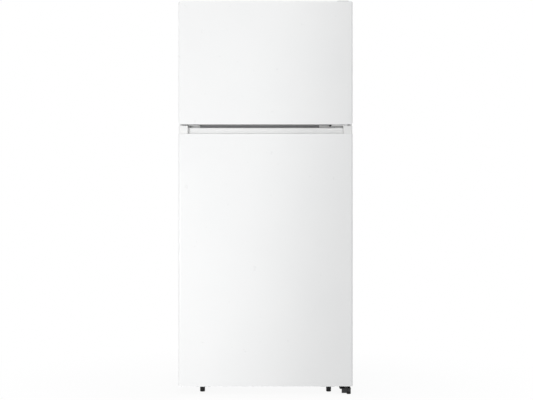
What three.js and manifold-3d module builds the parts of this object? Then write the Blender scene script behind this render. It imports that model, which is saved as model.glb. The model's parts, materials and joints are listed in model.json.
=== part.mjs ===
// A top freezer refrigerator, in millimetres: +X to the right as seen from the front, -Y to the front,
// +Z up. The origin is on the floor, under the middle of the object. Both doors are closed and are
// hinged on the right.
import * as THREE from "three";
import { mergeVertices } from "three/addons/utils/BufferGeometryUtils.js";
import Module from "manifold-3d";

const wasm = await Module();
wasm.setup();

// ---- Driving dimensions ----

const WIDTH = 748; // cabinet and doors
const DEPTH = 770; // door fronts to the machine cover
const CABINET_TOP = 1680;
const CABINET_BOTTOM = 40;
const FIT = 0.3; // gap between pieces that touch

const SHEET = 1; // painted steel
const LINER = 1.5; // liner plastic
const PANEL = 2.5; // thicker moulded plastic

const DOOR_THICKNESS = 62;
const DOOR_EDGE_RADIUS = 10; // upright front edges
const GASKET_GAP = 10; // door back to cabinet front
const GASKET_WIDTH = 18;
const GASKET_SIDE_INSET = 29; // door edge to gasket, inboard of the hinge axis
const GASKET_END_INSET = 12;

const FREEZER_HEIGHT = 425; // cavity
const FRIDGE_FLOOR = 118;
const MULLION_HEIGHT = 95; // between the cavities
const CEILING_WALL = 65; // cabinet top to freezer cavity
const FREEZER_WALL = 68; // cabinet side to freezer cavity
const FRIDGE_WALL = 52;
const FREEZER_REAR_WALL = 79;
const FRIDGE_REAR_WALL = 59;
const CAVITY_RADIUS = 18;

const DOOR_GAP = 5; // end posts to freezer door
const HAND_RECESS = 40; // fridge door skin to freezer door
const STRIP_SETBACK = 30; // recessed strip behind the door front
const STRIP_TO_POST = 7.5;
const POST_WIDTH = 40;
const POST_SETBACK = 7;
const POST_INSET = 4;
const POCKET_DEPTH = 27;
const FRIDGE_DOOR_BOTTOM = 34;
const DOOR_OVER_TOP = 3; // freezer door above the cabinet top

const HINGE_INSET = 28; // door edge to hinge axis
const HINGE_SETBACK = 18; // door front to hinge axis
const PIN_RADIUS = 5;
const PIN_LENGTH = 20; // inside a door cap
const HOLE_CLEARANCE = 0.4; // round a pin or a stud

const MACHINE_DEPTH = 214; // rear plane to the compartment's front wall
const MACHINE_HEIGHT = 245;
const COVER_DEPTH = 6; // machine cover behind the rear plane

const LEG_SIDE_INSET = 100; // cabinet side to front leg
const LEG_FRONT_INSET = 15; // cabinet front to front leg
const LEG_RADIUS = 10.75;
const STUD_RADIUS = 4;
const PAD_HEIGHT = 7;

// ---- Derived planes ----

const HALF = WIDTH / 2;
const FRONT_Y = -DEPTH / 2;
const BACK_Y = DEPTH / 2;
const REAR_Y = BACK_Y - COVER_DEPTH;
const DOOR_BACK_Y = FRONT_Y + DOOR_THICKNESS;
const CABINET_FRONT_Y = DOOR_BACK_Y + GASKET_GAP;
const INNER_HALF = HALF - SHEET - FIT; // what fits between the steel side walls

const FREEZER_CEILING = CABINET_TOP - CEILING_WALL;
const FREEZER_FLOOR = FREEZER_CEILING - FREEZER_HEIGHT;
const FRIDGE_CEILING = FREEZER_FLOOR - MULLION_HEIGHT;
const FREEZER_HALF = HALF - FREEZER_WALL;
const FRIDGE_HALF = HALF - FRIDGE_WALL;
const FREEZER_BACK_Y = REAR_Y - FREEZER_REAR_WALL;
const FRIDGE_BACK_Y = REAR_Y - FRIDGE_REAR_WALL;

const GAP_Z = FREEZER_FLOOR - 37; // middle hinge plate, halfway between the doors
const FREEZER_DOOR_BOTTOM = GAP_Z + DOOR_GAP / 2;
const FREEZER_DOOR_TOP = CABINET_TOP + DOOR_OVER_TOP;
const POST_TOP = GAP_Z - DOOR_GAP / 2;
const FRIDGE_SKIN_TOP = FREEZER_DOOR_BOTTOM - HAND_RECESS;
const STRIP_TOP = POST_TOP - STRIP_TO_POST;

const HINGE_X = HALF - HINGE_INSET;
const HINGE_Y = FRONT_Y + HINGE_SETBACK;

const MACHINE_FRONT_Y = REAR_Y - MACHINE_DEPTH;
const MACHINE_TOP = CABINET_BOTTOM + MACHINE_HEIGHT;
const STEP_Y = MACHINE_FRONT_Y - 50; // front of the step in the fridge cavity
const STEP_TOP = MACHINE_TOP + 50;

// ---- Materials ----

function finish(color, roughness, metalness = 0) {
  return new THREE.MeshStandardMaterial({ color, roughness, metalness });
}
const WHITE_STEEL = finish(0xf3f3f2, 0.35);
const WHITE_TRIM = finish(0xeeeeec, 0.5);
const LINER_WHITE = finish(0xf4f5f5, 0.4);
const FOAM = finish(0xe8dba8, 0.9);
const GASKET = finish(0xe2e2e0, 0.7);
const BLACK = finish(0x1a1a1b, 0.55);
const DARK_TRIM = finish(0x3a3b3d, 0.6);
const GALVANISED = finish(0xa9adb0, 0.45, 0.9);
const COMPRESSOR_BLACK = finish(0x17181a, 0.4, 0.3);
const ALUMINIUM = finish(0xc9ccce, 0.35, 1);
const CLEAR = finish(0xe6eef0, 0.1);
const GLASS = finish(0xd5e4e2, 0.05);
const LENS = finish(0xfafaf5, 0.5);
const WIRE = finish(0xf6f6f6, 0.4);
const RUBBER = finish(0x1b1b1c, 0.8);

// ---- Solids ----

function solid(geometry) {
  geometry.deleteAttribute("normal");
  geometry.deleteAttribute("uv");
  const merged = mergeVertices(geometry, 1e-4);
  const vertProperties = new Float32Array(merged.attributes.position.array);
  const triVerts = new Uint32Array(merged.index.array);
  return new wasm.Manifold(new wasm.Mesh({ numProp: 3, vertProperties, triVerts }));
}

function join(first, ...others) {
  return others.reduce((whole, next) => whole.add(next), first);
}

function cut(first, ...others) {
  return others.reduce((whole, next) => whole.subtract(next), first);
}

function meet(first, ...others) {
  return others.reduce((whole, next) => whole.intersect(next), first);
}

function box([x0, x1], [y0, y1], [z0, z1]) {
  const geometry = new THREE.BoxGeometry(x1 - x0, y1 - y0, z1 - z0);
  geometry.translate((x0 + x1) / 2, (y0 + y1) / 2, (z0 + z1) / 2);
  return solid(geometry);
}

// A rod from one end to the other, along the named axis through the given point.
function rod(axis, radius, [x, y, z], length, sides = 12) {
  const geometry = new THREE.CylinderGeometry(radius, radius, length, sides);
  geometry.translate(0, length / 2, 0);
  if (axis === "x") geometry.rotateZ(-Math.PI / 2);
  if (axis === "z") geometry.rotateX(Math.PI / 2);
  geometry.translate(x, y, z);
  return solid(geometry);
}

function polygon(points) {
  return new THREE.Shape(points.map(([u, v]) => new THREE.Vector2(u, v)));
}

// A rectangle with its own radius at each corner: [lower left, lower right, upper right, upper left].
function rounded([u0, u1], [v0, v1], radii, shape = new THREE.Shape()) {
  const [a, b, c, d] = Array.isArray(radii) ? radii : [radii, radii, radii, radii];
  const quarter = Math.PI / 2;
  shape.moveTo(u0 + a, v0);
  shape.lineTo(u1 - b, v0);
  if (b) shape.absarc(u1 - b, v0 + b, b, -quarter, 0, false);
  shape.lineTo(u1, v1 - c);
  if (c) shape.absarc(u1 - c, v1 - c, c, 0, quarter, false);
  shape.lineTo(u0 + d, v1);
  if (d) shape.absarc(u0 + d, v1 - d, d, quarter, 2 * quarter, false);
  shape.lineTo(u0, v0 + a);
  if (a) shape.absarc(u0 + a, v0 + a, a, 2 * quarter, 3 * quarter, false);
  return shape;
}

function extruded(shape, depth, curveSegments) {
  return new THREE.ExtrudeGeometry(shape, { depth, bevelEnabled: false, curveSegments });
}

// An outline in X and Y, drawn up from z0 to z1.
function upright(shape, [z0, z1], curveSegments = 3) {
  return solid(extruded(shape, z1 - z0, curveSegments).translate(0, 0, z0));
}

// An outline in X and Z, drawn from y0 back to y1.
function backward(shape, [y0, y1], curveSegments = 3) {
  const geometry = extruded(shape, y1 - y0, curveSegments);
  geometry.rotateX(Math.PI / 2);
  return solid(geometry.translate(0, y1, 0));
}

// An outline in Y and Z, drawn from x0 across to x1.
function sideways(shape, [x0, x1], curveSegments = 3) {
  const geometry = extruded(shape, x1 - x0, curveSegments);
  const axes = new THREE.Matrix4().makeBasis(
    new THREE.Vector3(0, 1, 0),
    new THREE.Vector3(0, 0, 1),
    new THREE.Vector3(1, 0, 0),
  );
  geometry.applyMatrix4(axes);
  return solid(geometry.translate(x0, 0, 0));
}

function lathe(profile, sides = 16) {
  const points = profile.map(([radius, z]) => new THREE.Vector2(radius, z));
  return solid(new THREE.LatheGeometry(points, sides).rotateX(Math.PI / 2));
}

function across(half) {
  return [-half, half];
}

function grown([low, high], by) {
  return [low - by, high + by];
}

function mirrored(shape) {
  return shape.scale([-1, 1, 1]);
}

// ---- The assembly ----

const refrigerator = new THREE.Group();
refrigerator.name = "refrigerator";
const freezerDoor = new THREE.Group();
freezerDoor.position.set(HINGE_X, HINGE_Y, FREEZER_DOOR_BOTTOM);
const fridgeDoor = new THREE.Group();
fridgeDoor.position.set(HINGE_X, HINGE_Y, FRIDGE_DOOR_BOTTOM);
refrigerator.add(freezerDoor, fridgeDoor);

// Names a solid and hangs it in its group. The solid is drawn in the refrigerator's own frame.
function piece(name, shape, material, group = refrigerator) {
  const { x, y, z } = group.position;
  const mesh = shape.translate([-x, -y, -z]).getMesh();
  const geometry = new THREE.BufferGeometry();
  geometry.setAttribute("position", new THREE.BufferAttribute(mesh.vertProperties, 3));
  geometry.setIndex(new THREE.BufferAttribute(mesh.triVerts, 1));
  const part = new THREE.Mesh(geometry.toNonIndexed(), material);
  part.geometry.computeVertexNormals();
  part.name = name;
  group.add(part);
}

// ---- Cabinet ----

const FRONT_FLANGE = 24;
const REAR_FLANGE = 14;
const TOP_RADIUS = 6;
const FILL_CLEARANCE = 0.5; // panel and foam to the shell, besides the fit
const FILL_HALF = INNER_HALF - FILL_CLEARANCE;
const FILL_TOP = CABINET_TOP - SHEET - FIT - FILL_CLEARANCE;
const FILL_RADII = [0, 0, TOP_RADIUS, TOP_RADIUS];
const MULLION_RAIL = [FRIDGE_CEILING + 5, FREEZER_FLOOR - 4];
const BASE_RAIL = [CABINET_BOTTOM, FRIDGE_FLOOR - 6];
const FLANGE_HALF = HALF - FRONT_FLANGE - FIT; // outer edge of the liners' front flanges

// A steel wrap over the sides and the top, with a flange turned in all round its front and its rear.
function cabinetShell() {
  const outline = (inset, low, depth) => {
    const radius = Math.max(TOP_RADIUS - inset, 1);
    const shape = rounded(across(HALF - inset), [low, CABINET_TOP - inset], [0, 0, radius, radius]);
    return backward(shape, depth);
  };
  const below = CABINET_BOTTOM - 1;
  const block = outline(0, CABINET_BOTTOM, [CABINET_FRONT_Y, REAR_Y]);
  const room = outline(SHEET, below, [CABINET_FRONT_Y + SHEET, REAR_Y - SHEET]);
  const front = outline(FRONT_FLANGE, below, [CABINET_FRONT_Y - 1, CABINET_FRONT_Y + 2]);
  const rear = outline(REAR_FLANGE, below, [REAR_Y - 2, REAR_Y + 1]);
  return cut(block, room, front, rear);
}

const REAR_PANEL_Y = REAR_Y - SHEET - FIT; // outer face, inside the shell's rear flange
const PANEL_RIB = { first: 150, pitch: 260, height: 18, inset: 60 };

function rearPanel() {
  const outline = rounded(across(FILL_HALF), [MACHINE_TOP + FIT, FILL_TOP], FILL_RADII);
  const sheet = backward(outline, [REAR_PANEL_Y - SHEET, REAR_PANEL_Y], 3);
  const depth = [REAR_PANEL_Y - SHEET / 2, REAR_PANEL_Y + SHEET];
  const ribs = [];
  for (let z = MACHINE_TOP + PANEL_RIB.first; z < FILL_TOP - PANEL_RIB.inset; z += PANEL_RIB.pitch) {
    ribs.push(box(across(INNER_HALF - PANEL_RIB.inset), depth, [z, z + PANEL_RIB.height]));
  }
  return join(sheet, ...ribs);
}

const BASE_RAIL_DEPTH = 52;

// The sheet under the foam, which rises over the machine compartment.
function basePlate() {
  const front = CABINET_FRONT_Y + BASE_RAIL_DEPTH + FIT;
  const wall = MACHINE_FRONT_Y - SHEET;
  const back = REAR_PANEL_Y - SHEET - FIT;
  const profile = polygon([
    [front, CABINET_BOTTOM],
    [MACHINE_FRONT_Y, CABINET_BOTTOM],
    [MACHINE_FRONT_Y, MACHINE_TOP - SHEET],
    [back, MACHINE_TOP - SHEET],
    [back, MACHINE_TOP],
    [wall, MACHINE_TOP],
    [wall, CABINET_BOTTOM + SHEET],
    [front, CABINET_BOTTOM + SHEET],
  ]);
  return sideways(profile, across(INNER_HALF));
}

function freezerCavity(grow, front) {
  const shape = rounded(
    grown(across(FREEZER_HALF), grow),
    grown([FREEZER_FLOOR, FREEZER_CEILING], grow),
    CAVITY_RADIUS + grow,
  );
  return backward(shape, [front, FREEZER_BACK_Y + grow], 4);
}

function fridgeCavity(grow, front) {
  const shape = rounded(
    grown(across(FRIDGE_HALF), grow),
    grown([FRIDGE_FLOOR, FRIDGE_CEILING], grow),
    CAVITY_RADIUS + grow,
  );
  const room = backward(shape, [front, FRIDGE_BACK_Y + grow], 4);
  const step = box(
    grown(across(FRIDGE_HALF), grow + 1),
    [STEP_Y + grow, BACK_Y],
    [FRIDGE_FLOOR - grow - 1, STEP_TOP - grow],
  );
  return cut(room, step);
}

const SHELF_FRONT_Y = CABINET_FRONT_Y + 128;
const RIB_REACH = 14; // shelf ribs, out of the side walls
const RIB_HEIGHT = 8;

// Ribs along both side walls, whose tops are at the given heights.
function wallRibs(half, tops, backY) {
  const ribs = tops.flatMap((z) => {
    const rib = box([half - RIB_REACH, half + LINER / 2], [SHELF_FRONT_Y + 15, backY], [z - RIB_HEIGHT, z]);
    return [rib, mirrored(rib)];
  });
  return join(...ribs);
}

function liner(cavity, heights) {
  const flange = box(across(FLANGE_HALF), [CABINET_FRONT_Y, CABINET_FRONT_Y + LINER], heights);
  return cut(join(cavity(LINER, CABINET_FRONT_Y), flange), cavity(0, CABINET_FRONT_Y - 1));
}

const FREEZER_SHELF_Z = FREEZER_FLOOR + 0.45 * FREEZER_HEIGHT;
const CRISPER_COVER_Z = STEP_TOP + 14;
const SHELF_PITCH = (FRIDGE_CEILING - CRISPER_COVER_Z) / 3;
const SHELF_LEVELS = { lower: CRISPER_COVER_Z + SHELF_PITCH, upper: CRISPER_COVER_Z + 2 * SHELF_PITCH };

function freezerLiner() {
  const flange = [MULLION_RAIL[1] + FIT, CABINET_TOP - FRONT_FLANGE - FIT];
  const ribs = wallRibs(FREEZER_HALF, [FREEZER_SHELF_Z], EVAPORATOR_COVER_Y - 10);
  return join(liner(freezerCavity, flange), ribs);
}

function fridgeLiner() {
  const flange = [BASE_RAIL[1] + FIT, MULLION_RAIL[0] - FIT];
  const tops = [CRISPER_COVER_Z, SHELF_LEVELS.lower, SHELF_LEVELS.upper];
  return join(liner(fridgeCavity, flange), wallRibs(FRIDGE_HALF, tops, FRIDGE_BACK_Y - 30));
}

function cabinetFoam() {
  const front = CABINET_FRONT_Y + LINER + FIT;
  const back = REAR_PANEL_Y - SHEET - FIT;
  const outline = rounded(across(FILL_HALF), [CABINET_BOTTOM + SHEET + FIT, FILL_TOP], FILL_RADII);
  const block = backward(outline, [front, back], 3);
  const machine = box(
    across(HALF),
    [MACHINE_FRONT_Y - SHEET - FIT, BACK_Y],
    [CABINET_BOTTOM, MACHINE_TOP + FIT],
  );
  const rail = box(
    across(HALF),
    [front - 1, CABINET_FRONT_Y + BASE_RAIL_DEPTH + FIT],
    [CABINET_BOTTOM, CABINET_BOTTOM + BASE_RAIL_HEIGHT + FIT],
  );
  const cavities = [freezerCavity(LINER + FIT, front - 1), fridgeCavity(LINER + FIT, front - 1)];
  return cut(block, machine, rail, ...cavities);
}

function mullionRail() {
  return box(across(FLANGE_HALF), [CABINET_FRONT_Y, CABINET_FRONT_Y + SHEET], MULLION_RAIL);
}

const BASE_RAIL_HEIGHT = 35; // rear wall of the channel
const BRACKET_BOTTOM = PAD_HEIGHT + FIT + 14.7;
const LEG_X = HALF - LEG_SIDE_INSET;
const LEG_Y = CABINET_FRONT_Y + LEG_FRONT_INSET;

// A channel across the bottom front, with a bracket at each end that holds a leg.
function frontBaseRail() {
  const half = FLANGE_HALF;
  const depth = [CABINET_FRONT_Y, CABINET_FRONT_Y + BASE_RAIL_DEPTH];
  const front = box(across(half), [depth[0], depth[0] + SHEET], BASE_RAIL);
  const floor = box(across(half), depth, [CABINET_BOTTOM, CABINET_BOTTOM + SHEET]);
  const rear = box(
    across(half),
    [depth[1] - SHEET, depth[1]],
    [CABINET_BOTTOM, CABINET_BOTTOM + BASE_RAIL_HEIGHT],
  );
  const bracket = box(
    [LEG_X - 35, LEG_X + 25],
    [depth[0] + 1, depth[1] - 12],
    [BRACKET_BOTTOM, CABINET_BOTTOM + SHEET / 2],
  );
  const hole = rod("z", STUD_RADIUS + HOLE_CLEARANCE, [LEG_X, LEG_Y, 0], CABINET_BOTTOM + 20, 12);
  const channel = join(front, floor, rear, bracket, mirrored(bracket));
  return cut(channel, hole, mirrored(hole));
}

// ---- Hinges ----

const HINGE_PLATE = 3;
const MIDDLE_PLATE = 3.6;
const MULLION_PLATE = 3; // hinge plates on the mullion
const TAB_REACH = 62; // inner end of the middle hinge from its pin
const HINGE_LEVEL = [GAP_Z - MIDDLE_PLATE / 2, GAP_Z + MIDDLE_PLATE / 2];
const HINGE_FACE = [CABINET_FRONT_Y - FIT - MULLION_PLATE, CABINET_FRONT_Y - FIT];
const HINGE_FLANGE = [GAP_Z - 16, HINGE_LEVEL[1]]; // below the turning freezer door

function pin(z0, z1) {
  return rod("z", PIN_RADIUS, [HINGE_X, HINGE_Y, z0], z1 - z0);
}

// The hole for a pin that enters a door cap at either end.
function pinHole(z0, z1) {
  return rod("z", PIN_RADIUS + HOLE_CLEARANCE, [HINGE_X, HINGE_Y, z0], z1 - z0);
}

const TOP_PLATE = [FREEZER_DOOR_TOP + 0.5, FREEZER_DOOR_TOP + 3];
const TOP_PLATE_BACK = CABINET_FRONT_Y + 88;

function topHingeBracket() {
  const arm = rounded([HINGE_X - 40, HINGE_X + 12], [HINGE_Y - 11, TOP_PLATE_BACK], [10, 10, 4, 4]);
  const foot = box(
    [HINGE_X - 40, HINGE_X + 12],
    [CABINET_FRONT_Y + 6, TOP_PLATE_BACK],
    [CABINET_TOP + FIT, TOP_PLATE[0] + 1],
  );
  return join(upright(arm, TOP_PLATE), foot, pin(TOP_PLATE[0] - PIN_LENGTH, TOP_PLATE[0] + 1));
}

const COVER_TOP = CABINET_TOP + 20;

// A low cover over the top hinge, which rises towards the back.
function topHingeCover() {
  const front = HINGE_Y + 15;
  const back = TOP_PLATE_BACK + 10;
  const step = CABINET_FRONT_Y + 2;
  const wall = LINER;
  const outer = sideways(
    polygon([
      [front, FREEZER_DOOR_TOP + 0.8],
      [step, FREEZER_DOOR_TOP + 0.8],
      [step, CABINET_TOP + FIT],
      [back, CABINET_TOP + FIT],
      [back, COVER_TOP - 6],
      [back - 6, COVER_TOP],
      [front + 82, COVER_TOP],
      [front, FREEZER_DOOR_TOP + 5.5],
    ]),
    [HINGE_X - 46, HINGE_X + 22],
  );
  const inner = sideways(
    polygon([
      [front - 1, FREEZER_DOOR_TOP - 5],
      [back - wall, FREEZER_DOOR_TOP - 5],
      [back - wall, COVER_TOP - 6 - wall],
      [back - 6 - wall, COVER_TOP - wall],
      [front + 82, COVER_TOP - wall],
      [front - 1, FREEZER_DOOR_TOP + 5.5 - wall],
    ]),
    [HINGE_X - 46 + wall, HINGE_X + 22 - wall],
  );
  return cut(outer, inner);
}

function middleHingeBracket() {
  const eye = 9;
  const outline = [
    [HINGE_X - TAB_REACH, HINGE_X + eye],
    [HINGE_Y - eye, HINGE_FACE[1]],
  ];
  const arm = rounded(...outline, [2, eye, 2, 2]);
  const flange = box([HINGE_X - TAB_REACH, HINGE_X], HINGE_FACE, HINGE_FLANGE);
  const pins = pin(POST_TOP - PIN_LENGTH, FREEZER_DOOR_BOTTOM + PIN_LENGTH);
  return join(upright(arm, HINGE_LEVEL), flange, pins);
}

function mullionBlankCap() {
  const span = [-HINGE_X + 13, -HINGE_X + TAB_REACH];
  const tab = rounded(span, [DOOR_BACK_Y - 27, HINGE_FACE[1]], [4, 4, 0, 0]);
  return join(upright(tab, HINGE_LEVEL), box(span, HINGE_FACE, HINGE_FLANGE));
}

const BOTTOM_PLATE = [FRIDGE_DOOR_BOTTOM - 12, FRIDGE_DOOR_BOTTOM - 9];
const HINGE_LEG = { x: HALF - 17.5, y: FRONT_Y + 14, radius: 9.3, padHeight: 4 };
const HINGE_LEG_BOSS = HINGE_LEG.padHeight + 6;

// A black bracket under the fridge door, which also carries the third leg.
function bottomHingeBracket() {
  const inner = HINGE_X - 28;
  const outer = HALF - 8;
  const front = HINGE_Y - 14;
  const riserY = CABINET_FRONT_Y + 13;
  const under = CABINET_BOTTOM - FIT;
  const arm = rounded([inner, outer], [front, riserY], [10, 4, 0, 0]);
  const lip = box([inner + 8, HINGE_X + 3], [front, front + HINGE_PLATE], [5, BOTTOM_PLATE[1]]);
  const riser = box([inner, outer], [riserY - HINGE_PLATE, riserY], [BOTTOM_PLATE[0], under]);
  const foot = box([inner, outer], [riserY - HINGE_PLATE, riserY + 44], [under - HINGE_PLATE, under]);
  const washer = rod(
    "z",
    8.8,
    [HINGE_X, HINGE_Y, BOTTOM_PLATE[0]],
    FRIDGE_DOOR_BOTTOM - FIT - BOTTOM_PLATE[0],
  );
  const boss = rod(
    "z",
    HINGE_LEG.radius,
    [HINGE_LEG.x, HINGE_LEG.y, HINGE_LEG_BOSS],
    BOTTOM_PLATE[1] - HINGE_LEG_BOSS,
  );
  const hole = rod(
    "z",
    STUD_RADIUS + HOLE_CLEARANCE,
    [HINGE_LEG.x, HINGE_LEG.y, 0],
    FRIDGE_DOOR_BOTTOM,
    12,
  );
  const pinPart = pin(BOTTOM_PLATE[0], FRIDGE_DOOR_BOTTOM + PIN_LENGTH);
  return cut(join(upright(arm, BOTTOM_PLATE), lip, riser, foot, washer, boss, pinPart), hole);
}

// ---- Doors ----

const SKIN_LIP = 7; // turned in round the open ends of a skin
const SKIN_BACK_FLANGE = 14;
const CAP_GAP = SHEET + FIT;

// The block inside a skin's outline, inset by the given amount.
function doorBlock([low, high], radii, inset, back = DOOR_BACK_Y) {
  const half = HALF - inset;
  const edge = DOOR_EDGE_RADIUS - inset;
  const plan = rounded(across(half), [FRONT_Y + inset, back], [edge, edge, 0, 0]);
  const inner = radii.map((radius) => Math.max(radius - inset, 0.5));
  const front = rounded(across(half), grown([low, high], -inset), inner);
  return meet(upright(plan, [low, high]), backward(front, [FRONT_Y, back]));
}

// A steel pan, open at the back and inside a narrow lip at the top and the bottom.
function doorSkin([low, high], radii) {
  const block = doorBlock([low, high], radii, 0);
  const inside = doorBlock([low, high], radii, SHEET, DOOR_BACK_Y - SHEET);
  const openBack = box(
    across(HALF - SKIN_BACK_FLANGE),
    [DOOR_BACK_Y - 2, DOOR_BACK_Y + 1],
    grown([low, high], -SKIN_BACK_FLANGE),
  );
  const openEnds = box(
    across(HALF - SKIN_LIP - 4),
    [FRONT_Y + SKIN_LIP, DOOR_BACK_Y - SKIN_LIP],
    grown([low, high], 1),
  );
  return cut(block, inside, openBack, openEnds);
}

// The slice of a door's inside between two heights.
function capBlock(door, radii, [low, high]) {
  const slice = box(across(HALF), [FRONT_Y, DOOR_BACK_Y], [low, high]);
  return meet(doorBlock(door, radii, CAP_GAP, DOOR_BACK_Y - CAP_GAP), slice);
}

const FREEZER_DOOR = [FREEZER_DOOR_BOTTOM, FREEZER_DOOR_TOP];
const FREEZER_RADII = [13, 13, 8, 8];
const FRIDGE_SKIN = [FRIDGE_DOOR_BOTTOM, FRIDGE_SKIN_TOP];
const FRIDGE_RADII = [3, 3, 3, 3];
const TOP_CAP = PIN_LENGTH + 6;
const POCKET_CAP = POCKET_DEPTH + 4;
const POCKET_HALF = HINGE_X - TAB_REACH - 3;

function freezerDoorTopCap() {
  const cap = capBlock(FREEZER_DOOR, FREEZER_RADII, [FREEZER_DOOR_TOP - TOP_CAP, FREEZER_DOOR_TOP]);
  return cut(cap, pinHole(FREEZER_DOOR_TOP - PIN_LENGTH - 1, FREEZER_DOOR_TOP));
}

// The lower cap holds a full-width hand pocket, open downwards.
function freezerDoorBottomCap() {
  const span = [FREEZER_DOOR_BOTTOM, FREEZER_DOOR_BOTTOM + POCKET_CAP];
  const cap = capBlock(FREEZER_DOOR, FREEZER_RADII, span);
  const pocket = box(
    across(POCKET_HALF),
    [FRONT_Y + SKIN_LIP + 1, DOOR_BACK_Y - SKIN_LIP - 4],
    [FREEZER_DOOR_BOTTOM - 1, FREEZER_DOOR_BOTTOM + POCKET_DEPTH],
  );
  return cut(cap, pocket, pinHole(FREEZER_DOOR_BOTTOM, FREEZER_DOOR_BOTTOM + PIN_LENGTH + 1));
}

// The upper cap of the fridge door: a pocket behind the skin, a strip set back from it, and two end posts.
function fridgeDoorTopCap() {
  const insert = capBlock(FRIDGE_SKIN, FRIDGE_RADII, [FRIDGE_SKIN_TOP - POCKET_CAP, FRIDGE_SKIN_TOP]);
  const post = HALF - POST_INSET - POST_WIDTH;
  const bottom = FRIDGE_SKIN_TOP + FIT;
  const pocket = box(
    across(post - 4),
    [FRONT_Y + SKIN_LIP + 1, FRONT_Y + STRIP_SETBACK - 3],
    [FRIDGE_SKIN_TOP - POCKET_DEPTH, FRIDGE_SKIN_TOP + 1],
  );
  const stripY = [FRONT_Y + STRIP_SETBACK, DOOR_BACK_Y];
  const strip = box(across(HALF - POST_INSET), stripY, [bottom, STRIP_TOP]);
  const postPlan = rounded([post, HALF - POST_INSET], [FRONT_Y + POST_SETBACK, DOOR_BACK_Y], [4, 9, 0, 0]);
  const rightPost = upright(postPlan, [bottom, POST_TOP]);
  const neck = box(
    across(HALF - SKIN_LIP - 5),
    [FRONT_Y + STRIP_SETBACK, DOOR_BACK_Y - SKIN_LIP - 1],
    [FRIDGE_SKIN_TOP - 10, bottom + 1],
  );
  const postNeck = box(
    [post + 1, HALF - SKIN_LIP - 5],
    [FRONT_Y + SKIN_LIP + 1, DOOR_BACK_Y - SKIN_LIP - 1],
    [FRIDGE_SKIN_TOP - 10, bottom + 1],
  );
  const cap = join(insert, strip, rightPost, mirrored(rightPost), neck, postNeck, mirrored(postNeck));
  return cut(cap, pocket, pinHole(POST_TOP - PIN_LENGTH - 1, POST_TOP));
}

function fridgeDoorBottomCap() {
  const cap = capBlock(FRIDGE_SKIN, FRIDGE_RADII, [FRIDGE_DOOR_BOTTOM, FRIDGE_DOOR_BOTTOM + TOP_CAP]);
  return cut(cap, pinHole(FRIDGE_DOOR_BOTTOM, FRIDGE_DOOR_BOTTOM + PIN_LENGTH + 1));
}

const LINER_PLATE = [DOOR_BACK_Y + FIT, DOOR_BACK_Y + FIT + LINER];
const LINER_INSET = 16; // door edge to the liner's rim
const DYKE_CLEARANCE = 10; // dyke to cavity wall
const DYKE_WIDTH = 26;
const DYKE_Y = DOOR_BACK_Y + 60;

// The hollow frame on the back of a door, as the solid inside the given inset.
function dykeFrame(half, heights, inset, front) {
  const outer = rounded(across(half - inset), grown(heights, -inset), CAVITY_RADIUS - inset);
  const wide = DYKE_WIDTH - inset;
  const inner = rounded(across(half - wide), grown(heights, -wide), 10 + inset, new THREE.Path());
  outer.holes.push(inner);
  return backward(outer, [front, DYKE_Y - inset], 2);
}

function doorLiner(half, opening, rim) {
  const heights = grown(opening, -DYKE_CLEARANCE);
  const plate = box(across(HALF - LINER_INSET), LINER_PLATE, rim);
  const dyke = dykeFrame(half - DYKE_CLEARANCE, heights, 0, LINER_PLATE[0]);
  return cut(join(plate, dyke), dykeFrame(half - DYKE_CLEARANCE, heights, LINER, LINER_PLATE[0] - 1));
}

function doorFoam(door, radii, fill, half, opening) {
  const back = DOOR_BACK_Y - SHEET - FIT;
  const slice = box(across(HALF), [FRONT_Y, back], fill);
  const core = meet(doorBlock(door, radii, CAP_GAP, back), slice);
  const inset = SKIN_BACK_FLANGE + FIT;
  const low = Math.max(fill[0], door[0] + inset);
  const high = Math.min(fill[1], door[1] - inset);
  const behind = box(across(HALF - inset), [back - 1, DOOR_BACK_Y], [low, high]);
  const dyke = dykeFrame(half - DYKE_CLEARANCE, grown(opening, -DYKE_CLEARANCE), LINER + FIT, back - 1);
  return join(core, behind, dyke);
}

function doorGasket([low, high]) {
  const outer = rounded(across(HALF - GASKET_SIDE_INSET), [low, high], 12);
  const inner = rounded(
    across(HALF - GASKET_SIDE_INSET - GASKET_WIDTH),
    grown([low, high], -GASKET_WIDTH),
    5,
    new THREE.Path(),
  );
  outer.holes.push(inner);
  return backward(outer, [LINER_PLATE[1] + FIT, CABINET_FRONT_Y - FIT], 3);
}

const FREEZER_OPENING = [FREEZER_FLOOR, FREEZER_CEILING];
const FRIDGE_OPENING = [FRIDGE_FLOOR, FRIDGE_CEILING];
const FRIDGE_GASKET_TOP = STRIP_TOP - GASKET_END_INSET;
const BIN_DEPTH = 110;
const BIN_WALL = 2;
const BIN_FRONT_Y = LINER_PLATE[1] + 1.5;

// An open-topped tray with rounded rear corners, hollow by its wall thickness.
function tray(spanX, spanY, heights, wall, radius) {
  const outer = upright(rounded(spanX, spanY, [2, 2, radius, radius]), heights, 2);
  const inner = upright(
    rounded(grown(spanX, -wall), grown(spanY, -wall), [0.5, 0.5, radius - wall, radius - wall]),
    [heights[0] + wall, heights[1] + 1],
    2,
  );
  return cut(outer, inner);
}

// A door bin between the dykes, with a thick rail along the top of its rear wall.
function doorBin(half, floor, height) {
  const inside = half - DYKE_CLEARANCE - DYKE_WIDTH - 2;
  const depth = [BIN_FRONT_Y, BIN_FRONT_Y + BIN_DEPTH];
  const body = tray(across(inside), depth, [floor, floor + height], BIN_WALL, 22);
  const rail = box(across(inside - 22), [depth[1] - 6, depth[1]], [floor + height - 16, floor + height]);
  return join(body, rail);
}

// ---- Inside the compartments ----

const EVAPORATOR_COVER_Y = FREEZER_BACK_Y - 92;
const FAN_CLEARANCE = 4;
const EVAPORATOR_FAN = { radius: 50, z: FREEZER_CEILING - 80 };

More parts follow.
